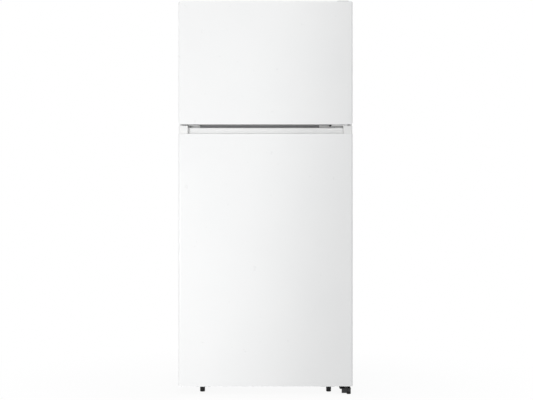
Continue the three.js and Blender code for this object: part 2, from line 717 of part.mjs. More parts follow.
const COVER_RIM = 16; // depth of the rim round the back of the cover
const COVER_GAP = 3; // rim to cavity wall
const RETURN_SLOT = { width: 64, pitch: 80, most: 200, z: FREEZER_FLOOR + 17, height: 10 };

// The panel in front of the evaporator, with the fan's opening and a row of return air slots.
function evaporatorCover() {
  const half = FREEZER_HALF - COVER_GAP;
  const span = grown([FREEZER_FLOOR, FREEZER_CEILING], -COVER_GAP);
  const outline = rounded(across(half), span, CAVITY_RADIUS);
  const outer = backward(outline, [EVAPORATOR_COVER_Y, EVAPORATOR_COVER_Y + COVER_RIM], 3);
  const inner = backward(
    rounded(across(half - PANEL), grown(span, -PANEL), CAVITY_RADIUS - PANEL),
    [EVAPORATOR_COVER_Y + PANEL, EVAPORATOR_COVER_Y + COVER_RIM + 1],
    3,
  );
  const opening = rod(
    "y",
    EVAPORATOR_FAN.radius + FAN_CLEARANCE,
    [0, EVAPORATOR_COVER_Y - 1, EVAPORATOR_FAN.z],
    PANEL + 2,
    20,
  );
  const slots = [];
  const through = grown([EVAPORATOR_COVER_Y, EVAPORATOR_COVER_Y + PANEL], 1);
  for (let x = -RETURN_SLOT.most; x <= RETURN_SLOT.most; x += RETURN_SLOT.pitch) {
    const width = grown([x, x], RETURN_SLOT.width / 2);
    slots.push(box(width, through, [RETURN_SLOT.z, RETURN_SLOT.z + RETURN_SLOT.height]));
  }
  return cut(outer, inner, opening, ...slots);
}

// A hub with blades round it, its axle along Y and its front face at y0.
function fan(radius, hub, thickness, blades) {
  const parts = [rod("y", hub, [0, 0, 0], thickness, 12)];
  for (let i = 0; i < blades; i++) {
    const blade = box([hub - 2, radius], [-1, 1], [-radius * 0.28, radius * 0.28]);
    const turned = blade.rotate([35, 0, 0]).translate([0, thickness / 2, 0]);
    parts.push(turned.rotate([0, (360 * i) / blades, 0]));
  }
  return meet(join(...parts), rod("y", radius, [0, -20, 0], thickness + 40, 20));
}

const EVAPORATOR = {
  half: FREEZER_HALF - 60,
  y: [EVAPORATOR_COVER_Y + 28, FREEZER_BACK_Y - 8],
  z: [FREEZER_FLOOR + 25, FREEZER_CEILING - 160],
};

// Upright fins on level tubes.
function finnedCoil(half, spanY, spanZ, fins, rows) {
  const plates = [];
  for (let i = 0; i < fins; i++) {
    const x = -half + (2 * half * i) / (fins - 1);
    plates.push(box([x - 0.8, x + 0.8], spanY, spanZ));
  }
  const tubes = [];
  for (let i = 0; i < rows; i++) {
    const z = spanZ[0] + ((spanZ[1] - spanZ[0]) * (i + 0.5)) / rows;
    tubes.push(rod("x", 5, [-half - 12, (spanY[0] + spanY[1]) / 2, z], 2 * half + 24, 5));
  }
  return join(...plates, ...tubes);
}

// A wire shelf: a frame of thick wire, with thin wires from front to back.
function freezerShelf() {
  const half = FREEZER_HALF - 4;
  const depth = [SHELF_FRONT_Y + 5, EVAPORATOR_COVER_Y - 6];
  const z = FREEZER_SHELF_Z + FIT + 3;
  const wires = [];
  for (const y of depth) wires.push(rod("x", 3, [-half, y, z], 2 * half, 6));
  for (const x of across(half - 3)) wires.push(rod("y", 3, [x, depth[0], z], depth[1] - depth[0], 6));
  const count = 12;
  for (let i = 1; i < count; i++) {
    const x = -half + (2 * half * i) / count;
    wires.push(rod("y", 2, [x, depth[0], z], depth[1] - depth[0], 4));
  }
  wires.push(box(across(half), [depth[0] - 2, depth[0] + 2], [z, z + 18]));
  return join(...wires);
}

const SHELF_FRAME = 18;
const SHELF_HEIGHT = 14;
const SHELF_GLASS = 4;

// A frame with a ledge inside it, on which the glass lies.
function shelfFrame(bottom, back, border = SHELF_FRAME) {
  const half = FRIDGE_HALF - 4;
  const depth = [SHELF_FRONT_Y, back];
  const low = bottom + FIT;
  const outer = box(across(half), depth, [low, low + SHELF_HEIGHT]);
  const seat = box(
    across(half - border + 8),
    [depth[0] + border - 8, depth[1] - border + 8],
    [low + SHELF_HEIGHT - SHELF_GLASS - FIT, low + SHELF_HEIGHT + 1],
  );
  const window = box(
    across(half - border),
    [depth[0] + border, depth[1] - border],
    [low - 1, low + SHELF_HEIGHT],
  );
  return cut(outer, seat, window);
}

function shelfGlass(bottom, back, border = SHELF_FRAME) {
  const half = FRIDGE_HALF - 4 - border + 8 - FIT;
  const top = bottom + FIT + SHELF_HEIGHT;
  const depth = [SHELF_FRONT_Y + border - 8 + FIT, back - border + 8 - FIT];
  return box(across(half), depth, [top - SHELF_GLASS, top]);
}

const CRISPER = {
  front: SHELF_FRONT_Y + 2,
  back: STEP_Y - 6,
  height: CRISPER_COVER_Z - RIB_HEIGHT - FRIDGE_FLOOR - 14,
};
const CRISPER_GAP = 3; // each side of the middle
const CRISPER_WALL_GAP = CAVITY_RADIUS + 2;

// A drawer with a taller front, on which a lip makes the handle.
function crisper() {
  const span = [CRISPER_GAP, FRIDGE_HALF - CRISPER_WALL_GAP];
  const floor = FRIDGE_FLOOR + FIT;
  const top = floor + CRISPER.height;
  const body = tray(span, [CRISPER.front, CRISPER.back], [floor, top - 12], PANEL, 14);
  const panel = box(span, [CRISPER.front, CRISPER.front + PANEL + 2], [floor, top]);
  const lip = box(span, [CRISPER.front, CRISPER.front + 22], [top - PANEL, top]);
  return join(body, panel, lip);
}

const HOUSING = {
  half: 150,
  y: [CABINET_FRONT_Y + 88, CABINET_FRONT_Y + 330],
  z: [FRIDGE_CEILING - FIT - 48, FRIDGE_CEILING - FIT],
};
const LENS_SPAN = { x: [-120, 40], y: [HOUSING.y[0] + 50, HOUSING.y[1] - 30] };
const KNOB = { x: 98, y: HOUSING.y[0] + 60, radius: 24, height: 13 };
const SWITCH = { x: -124, y: HOUSING.y[0], z: HOUSING.z[0] + 24, radius: 6, reach: 12, travel: 7 };

// A box under the fridge ceiling for the lamp, the thermostat and the door switch.
function controlHousing() {
  const plan = rounded(across(HOUSING.half), HOUSING.y, [14, 14, 4, 4]);
  const inside = rounded(across(HOUSING.half - PANEL), grown(HOUSING.y, -PANEL), [11, 11, 2, 2]);
  const shell = cut(upright(plan, HOUSING.z), upright(inside, [HOUSING.z[0] + PANEL, HOUSING.z[1] + 1]));
  const window = box(LENS_SPAN.x, LENS_SPAN.y, [HOUSING.z[0] - 1, HOUSING.z[0] + PANEL + 1]);
  const shaft = rod("z", 4 + HOLE_CLEARANCE, [KNOB.x, KNOB.y, HOUSING.z[0] - 1], PANEL + 2);
  const bore = rod("y", SWITCH.radius + HOLE_CLEARANCE, [SWITCH.x, SWITCH.y - 1, SWITCH.z], PANEL + 2, 12);
  return cut(shell, window, shaft, bore);
}

// A lens that fills the window, with a rim inside the housing.
function lampLens() {
  const bottom = HOUSING.z[0];
  const body = [bottom - 5, bottom + PANEL + FIT + 1];
  const plate = box(grown(LENS_SPAN.x, -FIT), grown(LENS_SPAN.y, -FIT), body);
  const hollow = box(grown(LENS_SPAN.x, -3), grown(LENS_SPAN.y, -3), [bottom - 3, body[1] + 1]);
  const rimZ = [bottom + PANEL + FIT, bottom + PANEL + FIT + 1.5];
  const rim = cut(
    box(grown(LENS_SPAN.x, 3), grown(LENS_SPAN.y, 3), rimZ),
    box(grown(LENS_SPAN.x, -2), grown(LENS_SPAN.y, -2), grown(rimZ, 1)),
  );
  return join(cut(plate, hollow), rim);
}

// A dial under the housing with a finger bar, on a shaft that reaches into it.
function temperatureKnob() {
  const top = HOUSING.z[0] - FIT;
  const disc = rod("z", KNOB.radius, [KNOB.x, KNOB.y, top - 6], 6, 20);
  const bar = box(
    [KNOB.x - 4, KNOB.x + 4],
    grown([KNOB.y, KNOB.y], KNOB.radius - 2),
    [top - KNOB.height, top - 5],
  );
  return join(disc, bar, rod("z", 4, [KNOB.x, KNOB.y, top - 1], 14));
}

function doorSwitchPlunger() {
  const { x, y, z, radius, reach } = SWITCH;
  const stem = rod("y", radius, [x, y - reach, z], reach + PANEL + 8, 12);
  const collar = rod("y", radius + 2.5, [x, y + PANEL + FIT, z], 3, 12);
  return join(stem, collar);
}

// ---- Machine compartment ----

const DECK = { y: [MACHINE_FRONT_Y + 3, REAR_PANEL_Y - 6], z: [56, 58] };
const ROLLER = { x: HALF - 56, y: DECK.y[1] - 34, radius: 18, width: 24, bore: 4.5 };
const CHEEK = 2.5;
const DECK_LIP = 14; // turned down along the front and the back of the deck

// The deck across the compartment, with two cheeks and an axle for each rear roller.
function machineDeck() {
  const half = INNER_HALF - 0.5;
  const plate = box(across(half), DECK.y, DECK.z);
  const thick = DECK.z[1] - DECK.z[0];
  const lipZ = [DECK.z[1] - DECK_LIP, DECK.z[1]];
  const lips = [
    box(across(half), [DECK.y[0], DECK.y[0] + thick], lipZ),
    box(across(half), [DECK.y[1] - thick, DECK.y[1]], lipZ),
  ];
  const brackets = across(ROLLER.x).flatMap((x) => {
    const reach = ROLLER.width / 2 + 2;
    const cheeks = [x - reach - CHEEK, x + reach].map((side) =>
      box([side, side + CHEEK], grown([ROLLER.y, ROLLER.y], 13), [ROLLER.radius - 8, DECK.z[0] + 1]),
    );
    const end = [x - reach - 1, ROLLER.y, ROLLER.radius];
    return [...cheeks, rod("x", ROLLER.bore - 0.5, end, 2 * reach + 2, 12)];
  });
  return join(plate, ...lips, ...brackets);
}

function rearRoller(x) {
  const { y, radius, width, bore } = ROLLER;
  const tyre = rod("x", radius, [x - width / 2, y, radius], width, 24);
  return cut(tyre, rod("x", bore, [x - width, y, radius], 2 * width, 12));
}

// A pressed cover with two columns of slots.
function machineCover() {
  const spanX = across(INNER_HALF - 2);
  const spanZ = [DECK.z[1] + 4, MACHINE_TOP - 4];
  const flange = box(spanX, [REAR_Y + FIT, REAR_Y + FIT + SHEET], spanZ);
  const raised = rounded(grown(spanX, -18), grown(spanZ, -14), 8);
  const pan = backward(raised, [REAR_Y + FIT, BACK_Y], 3);
  const hollow = backward(
    rounded(grown(spanX, -18 - SHEET), grown(spanZ, -14 - SHEET), 7),
    [REAR_Y, BACK_Y - SHEET],
    3,
  );
  const slots = [];
  for (const x of across(HALF - 194)) {
    for (let z = spanZ[0] + 36; z < spanZ[1] - 30; z += 26) {
      slots.push(box([x - 90, x + 90], [REAR_Y - 1, BACK_Y + 1], [z, z + 8]));
    }
  }
  return cut(join(flange, pan), hollow, ...slots);
}

const COMPRESSOR_INSET = 174; // cabinet side to compressor axis
const COMPRESSOR = { x: HALF - COMPRESSOR_INSET, y: DECK.y[0] + 98, radius: 72, height: 150 };

// A welded steel can on a foot plate, with a terminal box on its side.
function compressor() {
  const { radius, height } = COMPRESSOR;
  const base = DECK.z[1] + FIT;
  const belly = height / 2;
  const bottom = [[0, 14], [radius * 0.6, 16], [radius * 0.9, 32], [radius, 52]];
  const seam = [[radius, belly], [radius + 3, belly], [radius + 3, belly + 6], [radius, belly + 6]];
  const dome = [[radius, height - 46], [radius * 0.9, height - 18], [radius * 0.55, height - 3]];
  const profile = [...bottom, ...seam, ...dome, [0, height]];
  const can = lathe(profile).translate([COMPRESSOR.x, COMPRESSOR.y, base]);
  const plate = box(
    grown([COMPRESSOR.x, COMPRESSOR.x], radius + 8),
    grown([COMPRESSOR.y, COMPRESSOR.y], radius - 10),
    [base + 10, base + 20],
  );
  const feet = [-1, 1].flatMap((i) =>
    [-1, 1].map((j) =>
      rod("z", 8, [COMPRESSOR.x + i * (radius - 2), COMPRESSOR.y + j * (radius - 22), base], 12, 10),
    ),
  );
  const terminals = box(
    [COMPRESSOR.x - radius - 28, COMPRESSOR.x - radius + 12],
    grown([COMPRESSOR.y, COMPRESSOR.y], 26),
    [base + 48, base + 108],
  );
  return join(can, plate, ...feet, terminals);
}

const CONDENSER_HALF = (HALF - COMPRESSOR_INSET) / 2;
const CONDENSER = {
  x: CONDENSER_HALF + 69 - HALF,
  half: CONDENSER_HALF,
  y: [DECK.y[0] + 30, DECK.y[1] - 34],
  z: [DECK.z[1] + FIT, MACHINE_TOP - 40],
};
const CONDENSER_FAN = {
  x: CONDENSER.x + CONDENSER.half + 65,
  y: (CONDENSER.y[0] + CONDENSER.y[1]) / 2,
  z: DECK.z[1] + 92,
  radius: 66,
  thickness: 20,
};

function condenserCoil() {
  return finnedCoil(CONDENSER.half, CONDENSER.y, CONDENSER.z, 7, 2).translate([CONDENSER.x, 0, 0]);
}

// A shroud plate between condenser and compressor, with the motor held in its opening by a strut.
function condenserFanBracket() {
  const { x, y, z, radius } = CONDENSER_FAN;
  const span = grown([y, y], radius + 14);
  const plate = box([x - 14, x - 12], span, [DECK.z[1] + FIT, z + radius + 10]);
  const opening = rod("x", radius + FAN_CLEARANCE, [x - 20, y, z], 20, 20);
  const motor = rod("x", 19, [x + 12, y, z], 30, 14);
  const foot = box([x - 14, x + 40], grown([y, y], 12), [DECK.z[1] + FIT, DECK.z[1] + FIT + 2]);
  const strut = box([x + 30, x + 34], grown([y, y], 8), [DECK.z[1] + FIT, z]);
  return join(cut(plate, opening), motor, foot, strut);
}

// ---- Feet ----

// A pad that stays flat on the floor while the screw turns in it.
function legPad(radius, height) {
  return lathe([
    [0, 0],
    [radius - 2, 0],
    [radius, 2],
    [radius, height],
    [0, height],
  ]);
}

// A screw whose head is the black barrel over the pad.
function legScrew(radius, low, head, top) {
  const barrel = rod("z", radius, [0, 0, low], head - low, 20);
  const slots = [0, 90].map((turn) =>
    box([-1, 1], [radius - 1.5, radius + 1], [low - 1, head + 1]).rotate([0, 0, turn]),
  );
  return join(cut(barrel, ...slots), rod("z", STUD_RADIUS, [0, 0, head - 1], top - head + 1, 12));
}

function addLeg(padName, screwName, pad, screw, x, y) {
  piece(padName, pad.translate([x, y, 0]), BLACK);
  piece(screwName, screw.translate([x, y, 0]), BLACK);
}

// ---- Every node ----

piece("cabinet_shell", cabinetShell(), WHITE_STEEL);
piece("rear_panel", rearPanel(), GALVANISED);
piece("base_plate", basePlate(), GALVANISED);
piece("cabinet_foam", cabinetFoam(), FOAM);
piece("freezer_liner", freezerLiner(), LINER_WHITE);
piece("fridge_liner", fridgeLiner(), LINER_WHITE);
piece("mullion_rail", mullionRail(), WHITE_STEEL);
piece("front_base_rail", frontBaseRail(), GALVANISED);

piece("top_hinge_bracket", topHingeBracket(), GALVANISED);
piece("top_hinge_cover", topHingeCover(), WHITE_TRIM);
piece("middle_hinge_bracket", middleHingeBracket(), WHITE_STEEL);
piece("mullion_blank_cap", mullionBlankCap(), WHITE_TRIM);
piece("bottom_hinge_bracket", bottomHingeBracket(), BLACK);

piece("freezer_door_skin", doorSkin(FREEZER_DOOR, FREEZER_RADII), WHITE_STEEL, freezerDoor);
piece("freezer_door_top_cap", freezerDoorTopCap(), WHITE_TRIM, freezerDoor);
piece("freezer_door_bottom_cap", freezerDoorBottomCap(), DARK_TRIM, freezerDoor);
piece(
  "freezer_door_foam",
  doorFoam(
    FREEZER_DOOR,
    FREEZER_RADII,
    [FREEZER_DOOR_BOTTOM + POCKET_CAP + FIT, FREEZER_DOOR_TOP - TOP_CAP - FIT],
    FREEZER_HALF,
    FREEZER_OPENING,
  ),
  FOAM,
  freezerDoor,
);
piece(
  "freezer_door_liner",
  doorLiner(FREEZER_HALF, FREEZER_OPENING, grown(FREEZER_DOOR, -8)),
  LINER_WHITE,
  freezerDoor,
);
piece("freezer_door_gasket", doorGasket(grown(FREEZER_DOOR, -GASKET_END_INSET)), GASKET, freezerDoor);

piece("fridge_door_skin", doorSkin(FRIDGE_SKIN, FRIDGE_RADII), WHITE_STEEL, fridgeDoor);
piece("fridge_door_top_cap", fridgeDoorTopCap(), WHITE_TRIM, fridgeDoor);
piece("fridge_door_bottom_cap", fridgeDoorBottomCap(), WHITE_TRIM, fridgeDoor);
piece(
  "fridge_door_foam",
  doorFoam(
    FRIDGE_SKIN,
    FRIDGE_RADII,
    [FRIDGE_DOOR_BOTTOM + TOP_CAP + FIT, FRIDGE_SKIN_TOP - POCKET_CAP - FIT],
    FRIDGE_HALF,
    FRIDGE_OPENING,
  ),
  FOAM,
  fridgeDoor,
);
piece(
  "fridge_door_liner",
  doorLiner(FRIDGE_HALF, FRIDGE_OPENING, [FRIDGE_DOOR_BOTTOM + 8, STRIP_TOP - 5]),
  LINER_WHITE,
  fridgeDoor,
);
piece(
  "fridge_door_gasket",
  doorGasket([FRIDGE_DOOR_BOTTOM + GASKET_END_INSET, FRIDGE_GASKET_TOP]),
  GASKET,
  fridgeDoor,
);

const BIN_LIFT = DYKE_CLEARANCE + DYKE_WIDTH + 12; // compartment floor to lowest bin
const FREEZER_BIN = { low: FREEZER_FLOOR + BIN_LIFT, height: 95 };
const FRIDGE_BIN = { low: FRIDGE_FLOOR + BIN_LIFT, tall: 150, middle: 110, top: 90 };
const FREEZER_BINS = {
  freezer_bin_lower: [FREEZER_BIN.low, FREEZER_BIN.height],
  freezer_bin_upper: [FREEZER_CEILING - 190, FREEZER_BIN.height],
};
const UPPER_BIN_FLOOR = FRIDGE_CEILING - 220;
const FRIDGE_BINS = {
  fridge_bin_lower: [FRIDGE_BIN.low, FRIDGE_BIN.tall],
  fridge_bin_middle: [(FRIDGE_BIN.low + UPPER_BIN_FLOOR) / 2 + 20, FRIDGE_BIN.middle],
  fridge_bin_upper: [UPPER_BIN_FLOOR, FRIDGE_BIN.top],
};
for (const [name, [floor, height]] of Object.entries(FREEZER_BINS)) {
  piece(name, doorBin(FREEZER_HALF, floor, height), CLEAR, freezerDoor);
}
for (const [name, [floor, height]] of Object.entries(FRIDGE_BINS)) {
  piece(name, doorBin(FRIDGE_HALF, floor, height), CLEAR, fridgeDoor);
}

piece("evaporator_cover", evaporatorCover(), LINER_WHITE);
piece("evaporator", finnedCoil(EVAPORATOR.half, EVAPORATOR.y, EVAPORATOR.z, 7, 2), ALUMINIUM);
const evaporatorFan = fan(EVAPORATOR_FAN.radius, 15, 18, 4);
piece("evaporator_fan", evaporatorFan.translate([0, EVAPORATOR_COVER_Y + 22, EVAPORATOR_FAN.z]), DARK_TRIM);
piece("freezer_shelf", freezerShelf(), WIRE);

const SHELF_BACK_Y = FRIDGE_BACK_Y - 20;
for (const [level, z] of Object.entries(SHELF_LEVELS)) {
  piece("shelf_frame_" + level, shelfFrame(z, SHELF_BACK_Y), WHITE_TRIM);
  piece("shelf_glass_" + level, shelfGlass(z, SHELF_BACK_Y), GLASS);
}
piece("crisper_cover_frame", shelfFrame(CRISPER_COVER_Z, SHELF_BACK_Y), WHITE_TRIM);
piece("crisper_cover_glass", shelfGlass(CRISPER_COVER_Z, SHELF_BACK_Y), GLASS);
piece("crisper_right", crisper(), CLEAR);
piece("crisper_left", mirrored(crisper()), CLEAR);

piece("control_housing", controlHousing(), WHITE_TRIM);
piece("lamp_lens", lampLens(), LENS);
piece("temperature_knob", temperatureKnob(), WHITE_TRIM);
piece("door_switch_plunger", doorSwitchPlunger(), WHITE_TRIM);

piece("machine_deck", machineDeck(), GALVANISED);
piece("machine_cover", machineCover(), GALVANISED);
piece("compressor", compressor(), COMPRESSOR_BLACK);
piece("condenser_coil", condenserCoil(), BLACK);
piece("condenser_fan_bracket", condenserFanBracket(), GALVANISED);
const condenserFan = fan(CONDENSER_FAN.radius, 17, CONDENSER_FAN.thickness, 5).rotate([0, 0, -90]);
const fanPlace = [CONDENSER_FAN.x - CONDENSER_FAN.thickness / 2, CONDENSER_FAN.y, CONDENSER_FAN.z];
piece("condenser_fan", condenserFan.translate(fanPlace), DARK_TRIM);
piece("rear_roller_right", rearRoller(ROLLER.x), RUBBER);
piece("rear_roller_left", rearRoller(-ROLLER.x), RUBBER);

const frontPad = legPad(LEG_RADIUS, PAD_HEIGHT);
const frontScrew = legScrew(LEG_RADIUS, PAD_HEIGHT + FIT, BRACKET_BOTTOM - FIT, CABINET_BOTTOM + 26);
addLeg("leg_pad_left", "leg_screw_left", frontPad, frontScrew, -LEG_X, LEG_Y);
addLeg("leg_pad_right", "leg_screw_right", frontPad, frontScrew, LEG_X, LEG_Y);
const hingePad = legPad(HINGE_LEG.radius, HINGE_LEG.padHeight);
const hingeScrew = legScrew(
  HINGE_LEG.radius,
  HINGE_LEG.padHeight + FIT,
  HINGE_LEG_BOSS - FIT,
  FRIDGE_DOOR_BOTTOM - 1,
);
addLeg("hinge_leg_pad", "hinge_leg_screw", hingePad, hingeScrew, HINGE_LEG.x, HINGE_LEG.y);

export default refrigerator;
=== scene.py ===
import json
import math

import bmesh
import bpy
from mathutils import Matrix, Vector


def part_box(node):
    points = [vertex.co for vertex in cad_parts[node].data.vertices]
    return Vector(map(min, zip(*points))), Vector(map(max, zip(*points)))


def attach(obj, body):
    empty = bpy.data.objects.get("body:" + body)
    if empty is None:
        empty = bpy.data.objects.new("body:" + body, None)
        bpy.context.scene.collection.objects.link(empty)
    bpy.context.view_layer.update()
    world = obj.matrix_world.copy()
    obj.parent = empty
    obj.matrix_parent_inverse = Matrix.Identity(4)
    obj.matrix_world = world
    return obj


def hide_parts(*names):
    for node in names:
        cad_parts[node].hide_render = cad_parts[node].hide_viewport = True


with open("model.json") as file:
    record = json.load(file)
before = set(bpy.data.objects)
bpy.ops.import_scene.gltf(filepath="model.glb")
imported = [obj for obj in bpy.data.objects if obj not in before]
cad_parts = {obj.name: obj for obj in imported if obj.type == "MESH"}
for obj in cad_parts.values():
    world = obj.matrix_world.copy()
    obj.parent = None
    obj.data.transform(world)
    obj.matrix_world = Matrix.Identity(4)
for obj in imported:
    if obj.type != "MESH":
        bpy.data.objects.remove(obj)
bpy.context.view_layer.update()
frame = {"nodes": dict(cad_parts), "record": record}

NODES = frame["nodes"]
BODY_OF = {n: body for body, names in frame["record"]["behaviour"]["bodies"].items() for n in names}
SLOT_OF = {part["node"]: part["material_slot"] for part in frame["record"]["subparts"]}
MM = 0.001


def mm(*values):
    """Millimetres as a tuple of metres."""
    return tuple(v * MM for v in values)


def off(base, *values):
    """Places that lie the given millimetres from a base in metres."""
    return tuple(base + v * MM for v in values)


# ---- Camera, light and floor ----

scene = bpy.context.scene
scene.view_settings.view_transform = "Standard"
scene.view_settings.look = "None"

CAMERA_DISTANCE = 5.5  # from the door fronts
CAMERA_HEIGHT = 0.832
VIEW_WIDTH = 2.282  # what the camera sees at the door fronts
SENSOR = 36

camera = bpy.data.objects.new("camera", bpy.data.cameras.new("camera"))
scene.collection.objects.link(camera)
camera.data.sensor_width = SENSOR
camera.data.lens = SENSOR * CAMERA_DISTANCE / VIEW_WIDTH
camera.data.clip_end = 60
camera.location = (0.004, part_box("fridge_door_skin")[0].y - CAMERA_DISTANCE, CAMERA_HEIGHT)
camera.rotation_euler = (math.radians(90), 0, 0)
scene.camera = camera


def add_light(name, kind, place, power):
    light = bpy.data.objects.new(name, bpy.data.lights.new(name, kind))
    scene.collection.objects.link(light)
    light.data.energy = power
    light.location = place
    return light


def area_light(name, place, target, size, power, mirrored_in_gloss=True):
    light = add_light(name, "AREA", place, power)
    light.data.shape = "RECTANGLE"
    light.data.size, light.data.size_y = size
    light.rotation_euler = (Vector(target) - Vector(place)).to_track_quat("-Z", "Y").to_euler()
    light.visible_camera = False
    light.visible_glossy = mirrored_in_gloss


area_light("key", (-0.6, -6.8, 0.8), (0, -0.38, 0.8), (4.6, 3.0), 140, mirrored_in_gloss=False)
area_light("top", (0.2, -0.2, 4.2), (0.1, 0, 0.9), (3.0, 2.6), 33)
area_light("left", (-4.0, 1.5, 1.7), (0, 0.2, 0.9), (2.2, 2.6), 26)
area_light("right", (4.0, 1.5, 1.9), (0, 0.2, 0.9), (2.2, 2.6), 16)
area_light("rear", (0.8, 4.6, 2.4), (0, 0, 0.9), (3.0, 2.2), 60)


def flagged_light(name, place, edge, power, softness):
    """A lamp whose barn door cuts its light off along a line through two points, softly and to the right."""
    light = add_light(name, "POINT", place, power)
    light.data.shadow_soft_size = 0.25
    light.data.use_nodes = True
    tree = light.data.node_tree
    out = next(n for n in tree.nodes if n.type == "EMISSION")
    direction = tree.nodes.new("ShaderNodeTexCoord")
    across = tree.nodes.new("ShaderNodeVectorMath")
    across.operation = "DOT_PRODUCT"
    at = Vector(place)
    normal = (Vector(edge[0]) - at).cross(Vector(edge[1]) - at).normalized()
    across.inputs[1].default_value = normal if normal.x > 0 else -normal
    cut_off = tree.nodes.new("ShaderNodeMapRange")
    cut_off.interpolation_type = "SMOOTHSTEP"
    for index, value in ((1, -softness), (2, softness), (3, 1.0), (4, 0.0)):
        cut_off.inputs[index].default_value = value
    tree.links.new(direction.outputs["Normal"], across.inputs[0])
    tree.links.new(across.outputs["Value"], cut_off.inputs[0])
    tree.links.new(cut_off.outputs[0], out.inputs["Strength"])


flagged_light("side_key", (-2.2, -5.4, 0.5), [(0.26, -0.385, 1.43), (0.085, -0.385, 0.146)], 305, 0.038)

AMBIENT = 0.56  # strength of the sky as a light; the camera sees it as plain white

world = bpy.data.worlds.new("studio")
scene.world = world
world.use_nodes = True
sky = world.node_tree
sky.nodes.clear()
sky_out = sky.nodes.new("ShaderNodeOutputWorld")
sky_mix = sky.nodes.new("ShaderNodeMixShader")
sky_ray = sky.nodes.new("ShaderNodeLightPath")
sky.links.new(sky_ray.outputs["Is Camera Ray"], sky_mix.inputs["Fac"])
for socket, colour, strength in ((1, (0.98, 0.99, 1.0, 1), AMBIENT), (2, (1, 1, 1, 1), 1.0)):
    background = sky.nodes.new("ShaderNodeBackground")
    background.inputs["Color"].default_value = colour
    background.inputs["Strength"].default_value = strength
    sky.links.new(background.outputs[0], sky_mix.inputs[socket])
sky.links.new(sky_mix.outputs[0], sky_out.inputs["Surface"])

# ---- Materials ----


class Graph:
    """Nodes of one material, written as nested calls."""

    def __init__(self, name):
        self.material = bpy.data.materials.new(name)
        self.material.use_nodes = True
        self.tree = self.material.node_tree
        self.tree.nodes.clear()
        self.output = self.tree.nodes.new("ShaderNodeOutputMaterial")
        self.coordinates = self.tree.nodes.new("ShaderNodeTexCoord")

    def node(self, kind, settings=None, **inputs):
        """A node with its inputs set or linked, by name with _ for a space, or by number as i0, i1 and so on."""
        made = self.tree.nodes.new(kind)
        for key, value in (settings or {}).items():
            setattr(made, key, value)
        for key, value in inputs.items():
            numbered = key[0] == "i" and key[1:].isdigit()
            socket = made.inputs[int(key[1:]) if numbered else key.replace("_", " ")]
            if isinstance(value, bpy.types.NodeSocket):
                self.tree.links.new(value, socket)
            else:
                socket.default_value = value
        return made

    def place(self, stretch=(1, 1, 1)):
        """Object coordinates, in metres, divided along each axis by stretch."""
        scale = tuple(1 / s for s in stretch)
        return self.node("ShaderNodeMapping", Vector=self.coordinates.outputs["Object"], Scale=scale).outputs[0]

    def noise(self, size, detail=2.0, roughness=0.5, stretch=(1, 1, 1)):
        """Noise whose patches are about the given size across, from 0 to 1."""
        settings = {"Vector": self.place(stretch), "Scale": 1 / size, "Detail": detail, "Roughness": roughness}
        return self.node("ShaderNodeTexNoise", **settings).outputs["Fac"]

    def cells(self, size, output="Color"):
        return self.node("ShaderNodeTexVoronoi", Vector=self.place(), Scale=1 / size).outputs[output]

    def spread(self, value, low, high, start=0.3, end=0.7):
        """The value from start to end, drawn out over low to high."""
        return self.node("ShaderNodeMapRange", i0=value, i1=start, i2=end, i3=low, i4=high).outputs[0]

    def sum(self, a, b):
        return self.node("ShaderNodeMath", {"operation": "ADD"}, i0=a, i1=b).outputs[0]

    def blend(self, factor, low, high):
        made = self.node("ShaderNodeMix", {"data_type": "RGBA"}, i0=factor)
        made.inputs[6].default_value = (*low, 1)
        made.inputs[7].default_value = (*high, 1)
        return made.outputs[2]

    def bump(self, height, distance, strength=1.0, under=None):
        made = self.node("ShaderNodeBump", Height=height, Distance=distance, Strength=strength)
        if under is not None:
            self.tree.links.new(under, made.inputs["Normal"])
        return made.outputs[0]

    def finish(self, **inputs):
        shader = self.node("ShaderNodeBsdfPrincipled", **inputs)
        self.tree.links.new(shader.outputs[0], self.output.inputs["Surface"])
        return self.material


def painted_steel(name, pale, shade, roughness, coat):
    """Enamel with a faint orange peel, slightly uneven gloss and hardly any change of tone."""
    g = Graph(name)
    peel = g.noise(2.6 * MM, 2)
    waves = g.noise(90 * MM, 1)
    tone = g.noise(240 * MM, 3)
    return g.finish(
        Base_Color=g.blend(g.spread(tone, 0, 1), shade, pale),
        Roughness=g.spread(g.noise(35 * MM, 4, 0.6), roughness - 0.03, roughness + 0.04),
        Normal=g.bump(waves, 0.35 * MM, 0.25, g.bump(peel, 0.02 * MM, 0.12)),
        Coat_Weight=coat,
        Coat_Roughness=0.12,
    )


def moulded_plastic(name, pale, shade, roughness, grain, depth, sub=0.0, specular=0.5):
    """A moulding with a fine grain, softly uneven in gloss."""
    g = Graph(name)
    fine = g.noise(grain, 3, 0.6)
    tone = g.noise(120 * MM, 3)
    flow = g.noise(45 * MM, 2, 0.5, (1, 1, 3))
    return g.finish(
        Base_Color=g.blend(g.spread(tone, 0, 1), shade, pale),
        Roughness=g.spread(flow, roughness - 0.04, roughness + 0.05),
        Normal=g.bump(fine, depth, 0.6),
        Subsurface_Weight=sub,
        Subsurface_Scale=0.004,
        Specular_IOR_Level=specular,
    )


def galvanised_steel(name):
    """Zinc coated sheet with its spangle, lightly streaked."""
    g = Graph(name)
    spangle = g.node("ShaderNodeRGBToBW", Color=g.cells(9 * MM)).outputs[0]
    streaks = g.noise(6 * MM, 4, 0.6, (1, 1, 14))
    tone = g.sum(g.spread(spangle, 0, 0.6, 0, 1), g.spread(streaks, 0, 0.4))
    return g.finish(
        Base_Color=g.blend(tone, (0.54, 0.56, 0.575), (0.64, 0.66, 0.67)),
        Metallic=0.85,
        Roughness=g.spread(spangle, 0.36, 0.46, 0, 1),
        Normal=g.bump(streaks, 0.03 * MM, 0.5),
    )


